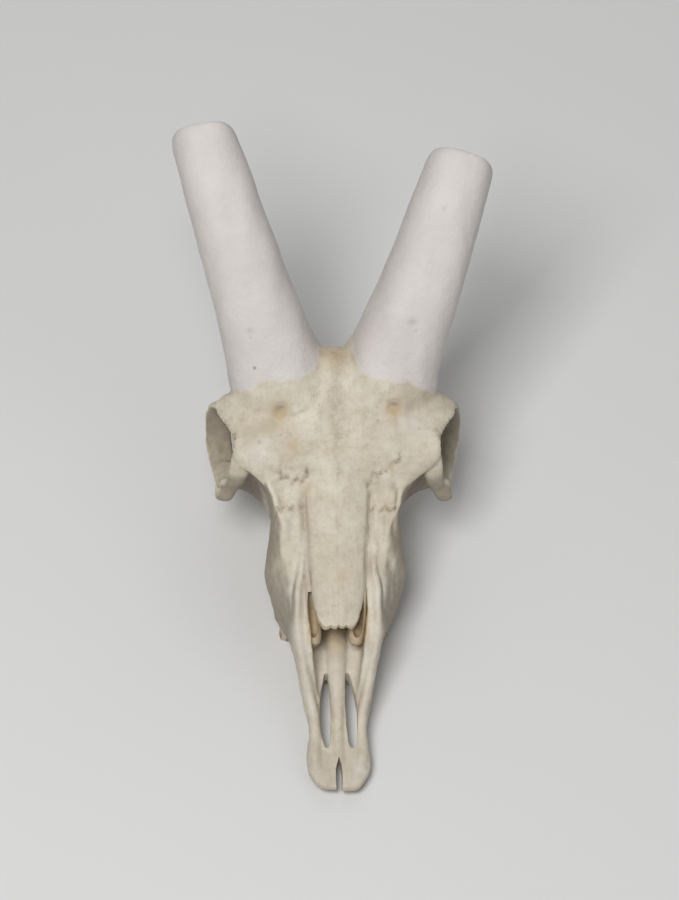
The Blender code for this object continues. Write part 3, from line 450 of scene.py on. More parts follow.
def socket_ring(side):
    """The bony ring round the eye, broad over the eye and narrow behind and below it."""
    def place(share, turn):
        angle = 360 * share
        here = turn * math.tau
        half_wall, half_width = smooth(RING_WALL, angle) / 2, smooth(RING_WIDTH, angle) / 2
        away = (angle - CORNER_ANGLE) / CORNER_SPREAD
        radius = SOCKET_OUTER + CORNER_REACH * math.exp(-away**2) - half_wall * (1 - math.cos(here))
        inward = half_width * (1 - math.sin(here)) + rim_recess(angle)
        inward -= CORNER_PUSH * math.exp(-0.5 * away**2)
        return socket_point(side, angle, radius, inward)

    bm = bmesh.new()
    steps, around = 48 * FINE, 12 * FINE
    bmesh.ops.create_circle(bm, cap_ends=False, segments=around, radius=1)
    bm.verts.ensure_lookup_table()
    first = list(bm.verts)
    ring = list(first)
    for k, vert in enumerate(ring):
        vert.co = place(0, k / around)
    for step in range(1, steps):
        edges = [bm.edges.get((ring[k], ring[(k + 1) % around])) for k in range(around)]
        made = bmesh.ops.extrude_edge_only(bm, edges=edges)["geom"]
        fresh = {v for v in made if isinstance(v, bmesh.types.BMVert)}
        ring = [next(e.other_vert(v) for e in v.link_edges if e.other_vert(v) in fresh) for v in ring]
        for k, vert in enumerate(ring):
            vert.co = place(step / steps, k / around)
    last = [bm.edges.get((ring[k], ring[(k + 1) % around])) for k in range(around)]
    start = [bm.edges.get((first[k], first[(k + 1) % around])) for k in range(around)]
    bmesh.ops.bridge_loops(bm, edges=last + start)
    return new_object("socket_ring", bm)


def cheek_wall(side):
    """The wall that carries the front of the socket out from the face."""
    def place(share, turn):
        x = CHEEK_X[0] + (CHEEK_X[1] - CHEEK_X[0]) * share
        ridge = (smooth(CHEEK_RIDGE_Y, x), smooth(CHEEK_RIDGE_Z, x))
        edge = (smooth(CHEEK_EDGE_Y, x), smooth(CHEEK_EDGE_Z, x))
        hollow = ((ridge[0] + edge[0]) / 2 + smooth(CHEEK_HOLLOW, x), (ridge[1] + edge[1]) / 2)
        outline = [(CHEEK_BACK, ridge[1] + 2), (ridge[0] + 12, ridge[1] + 3), ridge, hollow, edge,
                   (edge[0] + 8, edge[1] - 2), (CHEEK_BACK, edge[1] + 4), (CHEEK_BACK, ridge[1] + 2)]
        y, z = along(outline, turn)
        return Vector((side * x, y, z))
    return loft("cheek_wall", place, rings=20 * FINE, around=40 * FINE)


def socket_hollow(side):
    """The cutter for the eye socket, a cone that runs in and back towards the brain."""
    def place(share, turn):
        inward = -14 + (SOCKET_DEPTH + 14) * share
        radius = SOCKET_OUTER - smooth(RING_WALL, turn * 360) - 9 * max(0, inward) / SOCKET_DEPTH
        if share > 0.96:
            radius *= 0.7
        point = socket_point(side, turn * 360, radius, inward + 0.4 * rim_recess(turn * 360))
        point.y += 0.16 * max(0, inward)
        return point
    return loft("socket_hollow", place, rings=16 * FINE, around=40 * FINE)


def temple_hollow(side):
    """The cutter for the open floor of the socket and the hollow behind it, inside the cheek arch."""
    route = mirrored([(46, 206, 26), (46, 211, 50), (48, 224, 68), (48, 238, 84), (58, 252, 96)], side)
    radii = [(9, 9), (11, 12), (11, 16), (9, 12), (8, 9)]
    return limb("temple_hollow", route, radii, rings=22, around=24)


def cheek_arch(side):
    """The bar from the socket's foot back to the joint of the lower jaw."""
    route = mirrored([(68, 203, 55), (70, 216, 58), (65.5, 229, 59), (55, 239, 58), (44, 244, 56)], side)
    return limb("cheek_arch", route, [(3.4, 5.0), (3.0, 5.2), (2.8, 5.2), (5, 5.5), (10, 7)], rings=24)


def spine(name, distance):
    """A point on the middle line of a horn core, at a distance along it, for the core at +X."""
    steps = 14
    here = CORE_FOOT + Vector((CORE_SPREAD[name], 0, 0))
    for k in range(steps):
        step = distance / steps
        angle = math.radians(CORE_RISE - CORE_BEND * max(0, step * (k + 0.5)))
        here += Vector((CORE_LEAN, math.cos(angle), math.sin(angle))).normalized() * step
    return here


def core_axes(name, distance):
    """The middle point of a horn core and its directions onward, sideways and in depth there."""
    here = spine(name, distance)
    ahead = (spine(name, distance + 1) - spine(name, distance - 1)).normalized()
    sideways = ahead.cross(Vector((0, -ahead.z, ahead.y))).normalized()
    if sideways.x < 0:
        sideways.negate()
    return here, ahead, sideways, ahead.cross(sideways).normalized()


def horn_core(name):
    """One horn core, from inside the brow to its sawn end."""
    side, length, slant = SIDES[name], CORE_LENGTHS[name], SAW_SLANT[name]
    total = length + CORE_SUNK
    rings, around = 60 * FINE, 40 * FINE
    axes = [core_axes(name, total * k / (rings - 1) - CORE_SUNK) for k in range(rings)]

    def place(share, turn):
        distance = total * share - CORE_SUNK
        rounding = max(0, (distance - length + 4) / 4)
        here, ahead, sideways, depthways = axes[round(share * (rings - 1))]
        half = (smooth(CORE_HALF_WIDTH, distance), smooth(CORE_HALF_DEPTH, distance))
        shrink = 1 - 0.06 * rounding**2
        angle = turn * math.tau
        cos, sin = math.cos(angle), math.sin(angle)
        round_x = math.copysign(abs(cos) ** (2 / CORE_SQUARENESS), cos)
        round_y = math.copysign(abs(sin) ** (2 / CORE_SQUARENESS), sin)
        point = here + sideways * half[0] * round_x * shrink + depthways * half[1] * round_y * shrink
        back = math.copysign(round_y * half[1], depthways.y * round_y)
        skew = sideways.x * half[0] * round_x * math.tan(math.radians(slant))
        skew -= back * math.tan(math.radians(SAW_TILT))
        point += ahead * skew * max(0, distance / length) ** 3
        return Vector((point.x * side, point.y, point.z))
    return loft("horn_core", place, rings, around)


def nose_roof():
    """The paired nose bones as one arched plate."""
    def section(y):
        top, half, drop = smooth(NOSE_TOP, y), smooth(NOSE_HALF, y), smooth(NOSE_DROP, y)
        return [(0, top), (half * 0.55, top - 0.3 * drop), (half * 0.92, top - 0.8 * drop),
                (half, top - drop - NOSE_THICK * 0.6), (half * 0.9, top - drop - NOSE_THICK),
                (half * 0.5, top - 0.3 * drop - NOSE_THICK), (0, top - NOSE_THICK)]
    return profile_loft("nose_roof", NOSE_SPAN, section, rings=40 * FINE, around=40 * FINE)


def nose_hollow():
    """The cutter for the opening of the nose."""
    def section(y):
        half, floor, roof = smooth(HOLLOW_HALF, y), smooth(HOLLOW_FLOOR, y), smooth(HOLLOW_ROOF, y)
        half_top = half if roof < 100 else half + 3
        return [(0, roof), (half_top * 0.9, roof - 1), (half_top, roof - 5), (half, (roof + floor) / 2),
                (half - 1, floor + 6), (half - 4, floor + 1), (0, floor)]
    return profile_loft("nose_hollow", HOLLOW_SPAN, section, rings=40 * FINE, around=48 * FINE)


def beak():
    """The flat front of the upper jaw."""
    def section(y):
        half, middle, thick = smooth(BEAK_HALF, y), smooth(BEAK_MIDDLE_Z, y), smooth(BEAK_THICK, y)
        rim = [(0, 0.8), (0.6, 0.9), (0.93, 0.7), (1, 0), (0.93, -0.7), (0.6, -0.9), (0, -0.8)]
        return [(half * out, middle + thick * up) for out, up in rim]
    return profile_loft("beak", BEAK_SPAN, section, rings=36 * FINE, around=36 * FINE)


def beak_slit():
    """The cutter between the two tips of the beak."""
    def place(share, turn):
        y = SLIT_SPAN[0] + (SLIT_SPAN[1] - SLIT_SPAN[0]) * share
        angle = turn * math.tau
        return Vector((smooth(SLIT_HALF_WIDTH, y) * math.cos(angle), y, 10 + 14 * math.sin(angle)))
    return loft("beak_slit", place, rings=14 * FINE, around=16 * FINE)


def fissure(side):
    """The cutter for the long opening through the palate behind a tip of the beak."""
    def place(share, turn):
        y = FISSURE_SPAN[0] + (FISSURE_SPAN[1] - FISSURE_SPAN[0]) * share
        angle = turn * math.tau
        half, middle = smooth(FISSURE_HALF_WIDTH, y), smooth(FISSURE_X, y)
        lean = FISSURE_LEAN * (FISSURE_SPAN[1] - y) / (FISSURE_SPAN[1] - FISSURE_SPAN[0])
        return Vector((side * (middle + half * math.cos(angle)) + lean, y, 14 + 30 * math.sin(angle)))
    return loft("fissure", place, rings=16 * FINE, around=20 * FINE)


def tooth(side, front, length, half):
    """One cheek tooth: a crown with two ribs outside, standing in its socket."""
    middle = front + length / 2
    x = smooth(ROW_X, middle)

    def place(share, turn):
        z = ROW_TOP * share
        angle = turn * math.tau
        cos, sin = math.cos(angle), math.sin(angle)
        lobes = 1 - 0.13 * math.cos(4 * angle) * (1 if length > 11 else 0.4)
        swell = 0.92 + 0.14 * math.sin(math.pi * min(1, share * 1.3))
        reach_y = (length / 2 - TOOTH_SPACE / 2) * math.copysign(abs(sin) ** 0.55, sin)
        reach_x = half * lobes * swell * math.copysign(abs(cos) ** 0.6, cos)
        return Vector((side * (x + reach_x + 0.12 * z), middle + reach_y, z))
    return loft("tooth", place, rings=12, around=48)


def tooth_row(side):
    """All the teeth of one side."""
    front = ROW_FRONT
    made = []
    for length, half in TEETH:
        made.append(tooth(side, front, length, half))
        front += length
    return made


def head_forms():
    """Every rounded form of the bare skull before its hollows are cut."""
    forms = [snout(), brow(), egg("brain", BRAIN_CENTRE, BRAIN_RADII, size=32),
             egg("crown", CROWN_CENTRE, CROWN_RADII), egg("nape", NAPE_CENTRE, NAPE_RADII, turn=-14)]
    forms.append(limb("base", [(0, 160, 46), (0, 190, 46), (0, 225, 42), (0, 262, 40)],
                      [(22, 9), (15, 9), (14, 8), (12, 6)], rings=20))
    forms.append(egg("inner_wall", Vector((0, 188, 74)), Vector((31, 30, 27))))
    for side in SIDES.values():
        forms += [socket_ring(side), cheek_wall(side), cheek_arch(side)]
        forms.append(egg("jaw_joint", mirrored(Vector((43, 238, 53)), side), Vector((13, 11, 7))))
        forms.append(egg("ear_bulge", mirrored(Vector((39, 246, 56)), side), Vector((10, 11, 18))))
        forms.append(egg("condyle", mirrored(CONDYLE_CENTRE, side), CONDYLE_RADII, turn=-20))
        forms.append(egg("bulla", mirrored(Vector((20, 236, 34)), side), Vector((8, 13, 11)), turn=12))
        forms.append(limb("process", mirrored(PROCESS_ROUTE, side), PROCESS_RADII))
        wing = mirrored([(13, 150, 30), (13.5, 172, 34), (13, 192, 36), (12, 206, 42)], side)
        forms.append(limb("wing", wing, [(2.6, 12), (1.9, 13), (1.8, 12), (1.8, 6)], rings=16))
    return forms


def modifier(made, kind, **settings):
    """Adds a modifier to an object and applies it at once."""
    added = made.modifiers.new(kind.lower(), kind)
    for key, value in settings.items():
        setattr(added, key, value)
    bpy.context.view_layer.update()
    graph = bpy.context.evaluated_depsgraph_get()
    mesh = bpy.data.meshes.new_from_object(made.evaluated_get(graph))
    made.modifiers.clear()
    old = made.data
    made.data = mesh
    bpy.data.meshes.remove(old)
    return made


def joined(name, pieces):
    """One object that holds the meshes of several, which are removed."""
    bm = bmesh.new()
    for piece in pieces:
        bm.from_mesh(piece.data)
        bpy.data.objects.remove(piece)
    mesh = bpy.data.meshes.new(name)
    bm.to_mesh(mesh)
    bm.free()
    return linked(name, mesh)


def fused(name, pieces, softening):
    """Overlapping forms grown together into one skin. The softening is the reach of its rounding in mm."""
    made = joined(name, pieces)
    modifier(made, "REMESH", mode="VOXEL", voxel_size=VOXEL, adaptivity=0.0)
    return modifier(made, "SMOOTH", factor=0.5, iterations=max(2, round((softening / VOXEL) ** 2)))


def cut(made, cutters, operation="DIFFERENCE"):
    """Takes cutters away from an object, or keeps only what is inside one, and removes them."""
    for cutter in cutters:
        modifier(made, "BOOLEAN", operation=operation, object=cutter, solver="MANIFOLD")
        bpy.data.objects.remove(cutter)
    return made


def jagged(points, step, swing, seed):
    """A broken line along a list of (x, y) points, with teeth of uneven length to both sides of it."""
    draw = random.Random(seed)
    line, direction = [Vector(points[0])], 1
    for a, b in zip(points, points[1:]):
        a, b = Vector(a), Vector(b)
        reach = b - a
        across = Vector((-reach.y, reach.x)).normalized()
        count = max(1, round(reach.length / step))
        for k in range(count):
            at = a + reach * ((k + 0.5 + draw.uniform(-0.25, 0.25)) / count)
            line.append(at + across * direction * swing * draw.uniform(0.25, 1))
            direction = -direction
    line.append(Vector(points[-1]))
    return line


def prism(name, outline, axis, span):
    """A solid with a flat outline drawn out along an axis: X, Y or Z."""
    bm = bmesh.new()
    order = {"X": lambda a, b, c: (c, a, b),
             "Y": lambda a, b, c: (a, c, b),
             "Z": lambda a, b, c: (a, b, c)}[axis]
    face = bm.faces.new([bm.verts.new(order(a, b, span[0])) for a, b in outline])
    made = bmesh.ops.extrude_face_region(bm, geom=[face])["geom"]
    fresh = [v for v in made if isinstance(v, bmesh.types.BMVert)]
    bmesh.ops.translate(bm, vec=Vector(order(0, 0, span[1] - span[0])), verts=fresh)
    bmesh.ops.triangulate(bm, faces=bm.faces)
    return new_object(name, bm)


def read(items, key, width, kind=np.float32):
    """A value of every item of a mesh, one row each."""
    flat = np.empty(len(items) * width, kind)
    items.foreach_get(key, flat)
    return flat.reshape(-1, width)


def points_of(mesh):
    """The places of a mesh's points."""
    return read(mesh.vertices, "co", 3).astype(float)


def normals_of(mesh):
    """The directions in which a mesh's points face."""
    return read(mesh.vertex_normals, "vector", 3).astype(float)


def links_of(mesh):
    """The two ends of each edge of a mesh."""
    return read(mesh.edges, "vertices", 2, np.int32)


def move_points(mesh, points):
    """Puts a mesh's points in new places."""
    mesh.vertices.foreach_set("co", points.astype(np.float32).ravel())
    mesh.update()


def eased(values, links, rounds):
    """Values at a mesh's points, one row each, evened out along its edges."""
    count = len(values)
    neighbours = np.bincount(links.ravel(), minlength=count).astype(float)
    for _ in range(rounds):
        total = np.empty_like(values)
        for column in range(values.shape[1]):
            total[:, column] = (np.bincount(links[:, 0], values[links[:, 1], column], count)
                                + np.bincount(links[:, 1], values[links[:, 0], column], count))
        values = 0.5 * values + 0.5 * total / neighbours[:, None]
    return values


def clouds(points, size, seed):
    """Soft noise at each point, about -0.7 to 0.7. Its lumps have a size in mm: one, or one for each axis."""
    placed_points = points / np.array(size) + np.array((seed * 17.3, seed * 5.1, seed * 11.7))
    return np.array([noise.noise(p) for p in placed_points.tolist()])


def rise(values, low, high):
    """From 0 at the low value to 1 at the high one, eased at both ends."""
    t = np.clip((values - low) / (high - low), 0, 1)
    return t * t * (3 - 2 * t)


def within(values, low, start, end, high):
    """1 from the start to the end, falling to 0 at the low and at the high value."""
    return rise(values, low, start) * (1 - rise(values, end, high))


def band(values, half_width):
    """1 where the values are 0, and next to nothing past twice the half width."""
    return np.exp(-(values / half_width) ** 2)


def near(points, centre, reach):
    """How near each point is to a place: 1 there, and next to nothing past twice its reach."""
    return np.exp(-(((points - np.array(centre)) / reach) ** 2).sum(axis=1))


def near_line(points, line, half_width):
    """How near each point is, seen from above, to a broken line of (x, y) points."""
    least = np.full(len(points), 1e9)
    plan = points[:, :2]
    for a, b in zip(line, line[1:]):
        a, reach = np.array(a), np.array(b) - np.array(a)
        share = np.clip((plan - a) @ reach / (reach @ reach), 0, 1)
        least = np.minimum(least, ((plan - a - share[:, None] * reach) ** 2).sum(axis=1))
    return np.exp(-least / half_width**2)


def knot_values(knots, at):
    """The values of (place, value) knots at many places, by straight lines between them."""
    return np.interp(at, [k[0] for k in knots], [k[1] for k in knots])


def core_rise(points):
    """How far each point is up the nearer horn core from its foot, along the foot's own direction."""
    ahead = core_axes("left", 0)[1]
    across = np.abs(points[:, 0])
    return ((across - CORE_FOOT.x) * ahead.x + (points[:, 1] - CORE_FOOT.y) * ahead.y
            + (points[:, 2] - CORE_FOOT.z) * ahead.z)


def core_places(points, name):
    """For each point, its distance along a horn core and how far it is from the middle line, sideways and in
    depth."""
    side = SIDES[name]
    steps = np.arange(-20, CORE_LENGTHS[name] + 14, 2.0)
    axes = [core_axes(name, step) for step in steps]
    centres, ahead, sideways, depth = (np.array([a[k] for a in axes]) for k in range(4))
    flipped = points * np.array((side, 1, 1))
    nearest = np.argmin(((flipped[:, None, :] - centres[None, ::4, :]) ** 2).sum(axis=2), axis=1) * 4
    offset = flipped - centres[nearest]
    onward, out, deep = ((offset * axis[nearest]).sum(axis=1) for axis in (ahead, sideways, depth))
    return steps[nearest] + onward, out, deep


def on_roof(points, normals):
    """1 on the upper faces of the brow and the face, 0 underneath and inside."""
    return rise(normals[:, 2], 0.1, 0.45) * rise(points[:, 2], 55, 62)


def softened(mesh):
    """Evens out the bars beside the nose and, more strongly, the feet of the horn cores."""
    points, links = points_of(mesh), links_of(mesh)
    x, y, z = points.T
    foot = within(core_rise(points), -12, -2, 14, 26) * rise(z, 98, 106) * (1 - rise(y, 236, 246))
    bars = within(y, 40, 50, 128, 140) * within(np.abs(x), 9, 12, 20, 24)
    bars *= rise(z - 0.5 * (y - 60), 4, 10) * rise(knot_values(NOSE_TOP, y) - z + 14 * (y < 88), 6, 9)
    lightly = eased(points, links, BAR_EASING)
    strongly = eased(lightly, links, FOOT_EASING)
    points += (strongly - points) * foot[:, None] + (lightly - points) * (0.8 * bars * (1 - foot))[:, None]
    move_points(mesh, points)


def weathered(made):
    """Gives the whole skull its uneven surface: lumps, seams, holes, dents, ribs and spongy sawn ends."""
    mesh = made.data
    up = core_rise(points_of(mesh))
    softened(mesh)
    points, normals = points_of(mesh), normals_of(mesh)
    roof = on_roof(points, normals)
    x, y, z = points.T
    across = np.abs(x)
    lift = RELIEF["lumps"] * clouds(points, 17, 1) + RELIEF["small lumps"] * clouds(points, 5, 2)
    core = rise(up, 4, 14) * rise(z, 104, 112)
    lift *= 1 - 0.6 * core
    lift += RELIEF["core ribs"] * core * clouds(points, (9, 90, 90), 3)
    face = roof * within(y, 96, 106, 160, 168) * rise(across, 15, 19)
    lift += RELIEF["face ribs"] * face * clouds(points, (4.5, 30, 12), 4)
    forehead = roof * within(y, 168, 180, 216, 226)
    lift += RELIEF["brow ribs"] * forehead * clouds(points, (9, 26, 30), 7)
    outside = across - knot_values(NOSE_HALF, y) - NOSE_SUTURE_MARGIN
    lift -= RELIEF["nose groove"] * band(outside - 0.6, 1.5) * within(y, 104, 116, 150, 168) * roof
    lift += RELIEF["nose ridge"] * band(outside - 4.2, 1.6) * within(y, 110, 120, 150, 160) * roof
    lift -= RELIEF["nose seam"] * band(x, 1.3) * within(y, 88, 92, 160, 170) * roof
    lift -= RELIEF["brow trough"] * band(x + 1, 5) * within(y, 178, 190, 200, 212) * roof
    broken = 1 + 2.5 * clouds(points, 2.6, 14)
    for seed, seam in enumerate(SEAMS):
        line = jagged(seam, SEAM_STEP, SEAM_SWING, seed)
        lift -= SEAM_DEPTH * near_line(points, line, SEAM_HALF_WIDTH) * roof * broken
    for hole_x, hole_y in BROW_HOLES:
        spread = ((x - hole_x) / BROW_HOLE_HALF[0]) ** 2 + ((y - hole_y) / BROW_HOLE_HALF[1]) ** 2
        lift -= BROW_HOLE_DEPTH * np.exp(-spread**2) * roof
        lift -= RELIEF["hole gutter"] * band(x - hole_x * 1.06, 2.4) * band(y - hole_y + 6, 6) * roof
    for centre, reach, depth in CORE_PITS + CORE_HOLLOWS:
        lift -= depth * near(points, centre, reach)
    pits = RELIEF["sponge"] + RELIEF["sponge pits"] * clouds(points, 2.6, 9)
    for name in SIDES:
        lift -= sponge(points, name) * pits
    move_points(mesh, points + normals * lift[:, None])
    return made


def sponge(points, name):
    """1 on the spongy middle of a core's sawn end, 0 on its rim and everywhere else."""
    distance, sideways, depth = core_places(points, name)
    length = CORE_LENGTHS[name]
    spread = (sideways / knot_values(CORE_HALF_WIDTH, length)) ** 2
    spread += (depth / knot_values(CORE_HALF_DEPTH, length)) ** 2
    end = rise(distance, length - 16, length - 9) * (points[:, 0] * SIDES[name] > 0)
    return end * (1 - rise(spread, 0.5, 0.72))


def nose_tip_cutter():
    """The cutter that scallops the front edge of the nose bones."""
    edge = [(-x, y) for x, y in reversed(NOSE_TIP[1:])] + list(NOSE_TIP)
    return prism("nose_tip", edge + [(16, 70), (-16, 70)], "Z", (46, 80))


def scroll(side):
    """One of the thin scrolls of bone inside the nose, like a gutter that is open above and in front."""
    route = [(x - SCROLL_SHIFT, y, z) for x, y, z in mirrored(SCROLL_ROUTE, side)]
    opening = [(x - SCROLL_SHIFT, y, z) for x, y, z in mirrored(SCROLL_OPENING, side)]
    shell = limb("scroll", route, SCROLL_RADII, rings=20, around=18)
    return cut(shell, [limb("opening", opening, SCROLL_OPENING_RADII, rings=16, around=18)])


def margin_cutter(side, seed):
    """The cutter that leaves the brow over the eye with a worn, toothed edge."""
    edge = jagged(MARGIN, MARGIN_STEP, MARGIN_SWING, seed)
    outline = [(side * x, y) for x, y in edge] + [(side * 95, MARGIN[-1][1]), (side * 95, MARGIN[0][1])]
    return prism("margin", outline, "Z", (90.5, 125))


def whole_skull():
    """The skull with its hollows cut, before the bones are parted."""
    skull = fused("skull", head_forms(), softening=3.2)
    hollows = [nose_hollow(), beak_slit(), egg("canal", CANAL_CENTRE, CANAL_RADII, turn=-20)]
    for side in SIDES.values():
        hollows += [socket_hollow(side), temple_hollow(side), fissure(side)]
    cut(skull, hollows)
    bars = [limb("middle_bar", MIDDLE_BAR_ROUTE, MIDDLE_BAR_RADII)]
    bars += [limb("side_bar", mirrored(BAR_ROUTE, side), BAR_RADII, rings=30) for side in SIDES.values()]
    cores = [horn_core(name) for name in SIDES]
    rims = [socket_ring(side) for side in SIDES.values()]
    rims += [egg("corner", mirrored(SOCKET_CORNER, side), SOCKET_CORNER_RADII) for side in SIDES.values()]
    skull = fused("skull", [skull, nose_roof(), beak(), *bars, *cores, *rims], softening=1.5)
    cut(skull, [beak_slit(), fissure(1), fissure(-1)])
    cut(skull, [margin_cutter(side, seed) for seed, side in enumerate(SIDES.values(), 3)])
    cut(skull, [nose_tip_cutter()])
    return cut(weathered(largest_part(skull)), [half_space("ground", "Z", -1, FLOOR_LEVEL)])


def largest_part(made):
    """Keeps only the largest closed surface of an object."""
    mesh = made.data
    count = len(mesh.vertices)
    ends = links_of(mesh).T
    label = np.arange(count)
    while True:
        lowest = np.minimum(*label[ends])
        fresh = label.copy()
        for end in ends:
            np.minimum.at(fresh, end, lowest)
        fresh = fresh[fresh]
        if (fresh == label).all():
            break
        label = fresh
    sizes = np.bincount(label, minlength=count)
    keep = label == sizes.argmax()
    if keep.all():
        return made
    bm = bmesh.new()
    bm.from_mesh(mesh)
    bmesh.ops.delete(bm, geom=[v for v in bm.verts if not keep[v.index]], context="VERTS")
    bm.to_mesh(mesh)
    bm.free()
    return made


def core_region(side, grow):
    """The space that one horn core fills above its base."""
    low, inner = CORE_BASE_RISE - grow, -24.0 - grow
    outline = [(inner, low), (inner - 10, low + 12), (inner - 10, FAR), (70, FAR), (70, low)]
    made = prism("core_region", outline, "Y", (-90, 90))
    slope = math.radians(CORE_RISE)
    ahead = Vector((CORE_LEAN, math.cos(slope), math.sin(slope))).normalized()
    across = ahead.cross(Vector((0, -ahead.z, ahead.y))).normalized()
    across = across if across.x > 0 else -across
    turn = Matrix((across, ahead.cross(across), ahead)).transposed().to_4x4()
    made.data.transform(Matrix.Diagonal((side, 1, 1, 1)) @ Matrix.Translation(CORE_FOOT) @ turn)
    if side < 0:
        made.data.flip_normals()
    return made


def nose_region(grow):
    """The space of the two nose bones."""
    def section(y):
        top, half = smooth(NOSE_TOP, y), smooth(NOSE_HALF, max(y, 96)) + NOSE_SUTURE_MARGIN + grow
        low = top - smooth(NOSE_DROP, y) - NOSE_SUTURE_DEPTH - grow
        return [(0, top + 30), (half, top + 30), (half + 0.01, low + 2), (half - 2, low), (0, low + 2.5)]
    return profile_loft("nose_region", (60, NOSE_SUTURE_BACK + grow), section, rings=40, around=32)


def beak_region(grow):
    """The space of the two premaxillae, before a slanted cut."""
    back = BEAK_SUTURE_Y + grow
    low, high = back - 70 * BEAK_SUTURE_SLOPE, back + 90 * BEAK_SUTURE_SLOPE
    return prism("beak_region", [(-40, -60), (low, -60), (high, 100), (-40, 100)], "X", (-60, 60))


def vomer_region(grow):
    """The space of the bone that stands in the middle of the nose."""
    radii = [(a + grow, b + grow) for a, b in VOMER_RADII]
    return limb("vomer_region", VOMER_ROUTE, radii, rings=12, around=12)


def frontal_region(grow):
    """The space of the frontal bone, above and between the eyes, with its toothed front edge."""
    right_edge = jagged(FRONTAL_FRONT, SUTURE_STEP, SUTURE_SWING, seed=11)
    left_edge = jagged(FRONTAL_FRONT, SUTURE_STEP, SUTURE_SWING, seed=12)
    front = [(-x, y - grow) for x, y in reversed(right_edge[1:])] + [(x, y - grow) for x, y in left_edge]
    back = FRONTAL_BACK + grow
    made = prism("frontal_region", front + [(100, back), (-100, back)], "Z", (60, 200))
    floor = [(150, 60), (150, smooth(FRONTAL_FLOOR, 160) - grow), (200, smooth(FRONTAL_FLOOR, 200) - grow),
             (back + 5, smooth(FRONTAL_FLOOR, FRONTAL_BACK) - grow), (back + 5, 60)]
    return cut(made, [prism("frontal_floor", floor, "X", (-110, 110))])


def cheekbone_region(side, grow):
    """The space of one cheekbone, outside the face and below the brow."""
    outline = [(side * (x - grow), y) for y, x in CHEEKBONE_INNER]
    front, back = CHEEKBONE_INNER[0][0], CHEEKBONE_INNER[-1][0] + grow
    outline[-1] = (outline[-1][0], back)
    outline += [(side * 110, back), (side * 110, front)]
    return prism("cheekbone_region", outline, "Z", (20, CHEEKBONE_TOP + grow))


def half_space(name, axis, side, start):
    """A large block on one side of a plane across an axis."""
    low, high = (start, FAR) if side > 0 else (-FAR, start)
    return prism(name, [(-FAR, -FAR), (FAR, -FAR), (FAR, FAR), (-FAR, FAR)], axis, (low, high))


def face_region(grow):
    """The space of the face, before what is left of the braincase."""
    return half_space("face", "Y", -1, FACE_BACK + grow)


def copied(name, source):
    """A copy of an object with its own mesh."""
    return linked(name, source.data.copy())


def parted(name, whole, region, *side):
    """Takes what lies in a region out of the whole as a new object, with a fine gap between the two. The
    region is a function of its side, where it has one, and of how far its walls are moved out."""
    piece = cut(copied(name, whole), [region(*side, -SUTURE_GAP / 2)], "INTERSECT")
    cut(whole, [region(*side, SUTURE_GAP / 2)])
    return largest_part(piece)


def halved(name, whole):
    """The left and the right half of a part of the skull."""
    made = {}
    for side_name, side in SIDES.items():
        piece = copied(f"{name}_{side_name}", whole)
        cut(piece, [half_space("side", "X", side, side * SUTURE_GAP / 2)], "INTERSECT")
        made[f"{name}_{side_name}"] = largest_part(piece)
    bpy.data.objects.remove(whole)
    return made


def bones(whole):
    """Parts the whole skull into its bones: the pieces by name."""
    made = {}
    for name, side in SIDES.items():
        made[f"horn_core_{name}"] = parted(f"horn_core_{name}", whole, core_region, side)
    made.update(halved("nasal", parted("nasal", whole, nose_region)))
    made["vomer"] = parted("vomer", whole, vomer_region)
    made.update(halved("premaxilla", parted("premaxilla", whole, beak_region)))
    made["frontal"] = parted("frontal", whole, frontal_region)
    for name, side in SIDES.items():
        made[f"zygomatic_{name}"] = parted(f"zygomatic_{name}", whole, cheekbone_region, side)
    made.update(halved("maxilla", parted("maxilla", whole, face_region)))
    made["braincase"] = largest_part(whole)
    return made


def placed(piece):
    """Moves a piece from the skull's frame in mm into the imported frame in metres."""
    piece.data.transform(Matrix.Scale(MM, 4) @ Matrix.Translation(SHIFT))
    return piece


def node(tree, kind, **inputs):
    """A shader node of a kind, with its inputs set or linked by name."""
    made = tree.nodes.new(f"ShaderNode{kind}")
    for name, value in inputs.items():
        name = name.replace("_", " ")
        if isinstance(value, bpy.types.NodeSocket):
            tree.links.new(value, made.inputs[name])
        else:
            made.inputs[name].default_value = value
    return made


def strongest(points, marks, values):
    """Values at the points, raised near each mark to the mark's strength."""
    for centre, reach, strength in marks:
        values = np.maximum(values, strength * near(points, centre, reach))
    return values


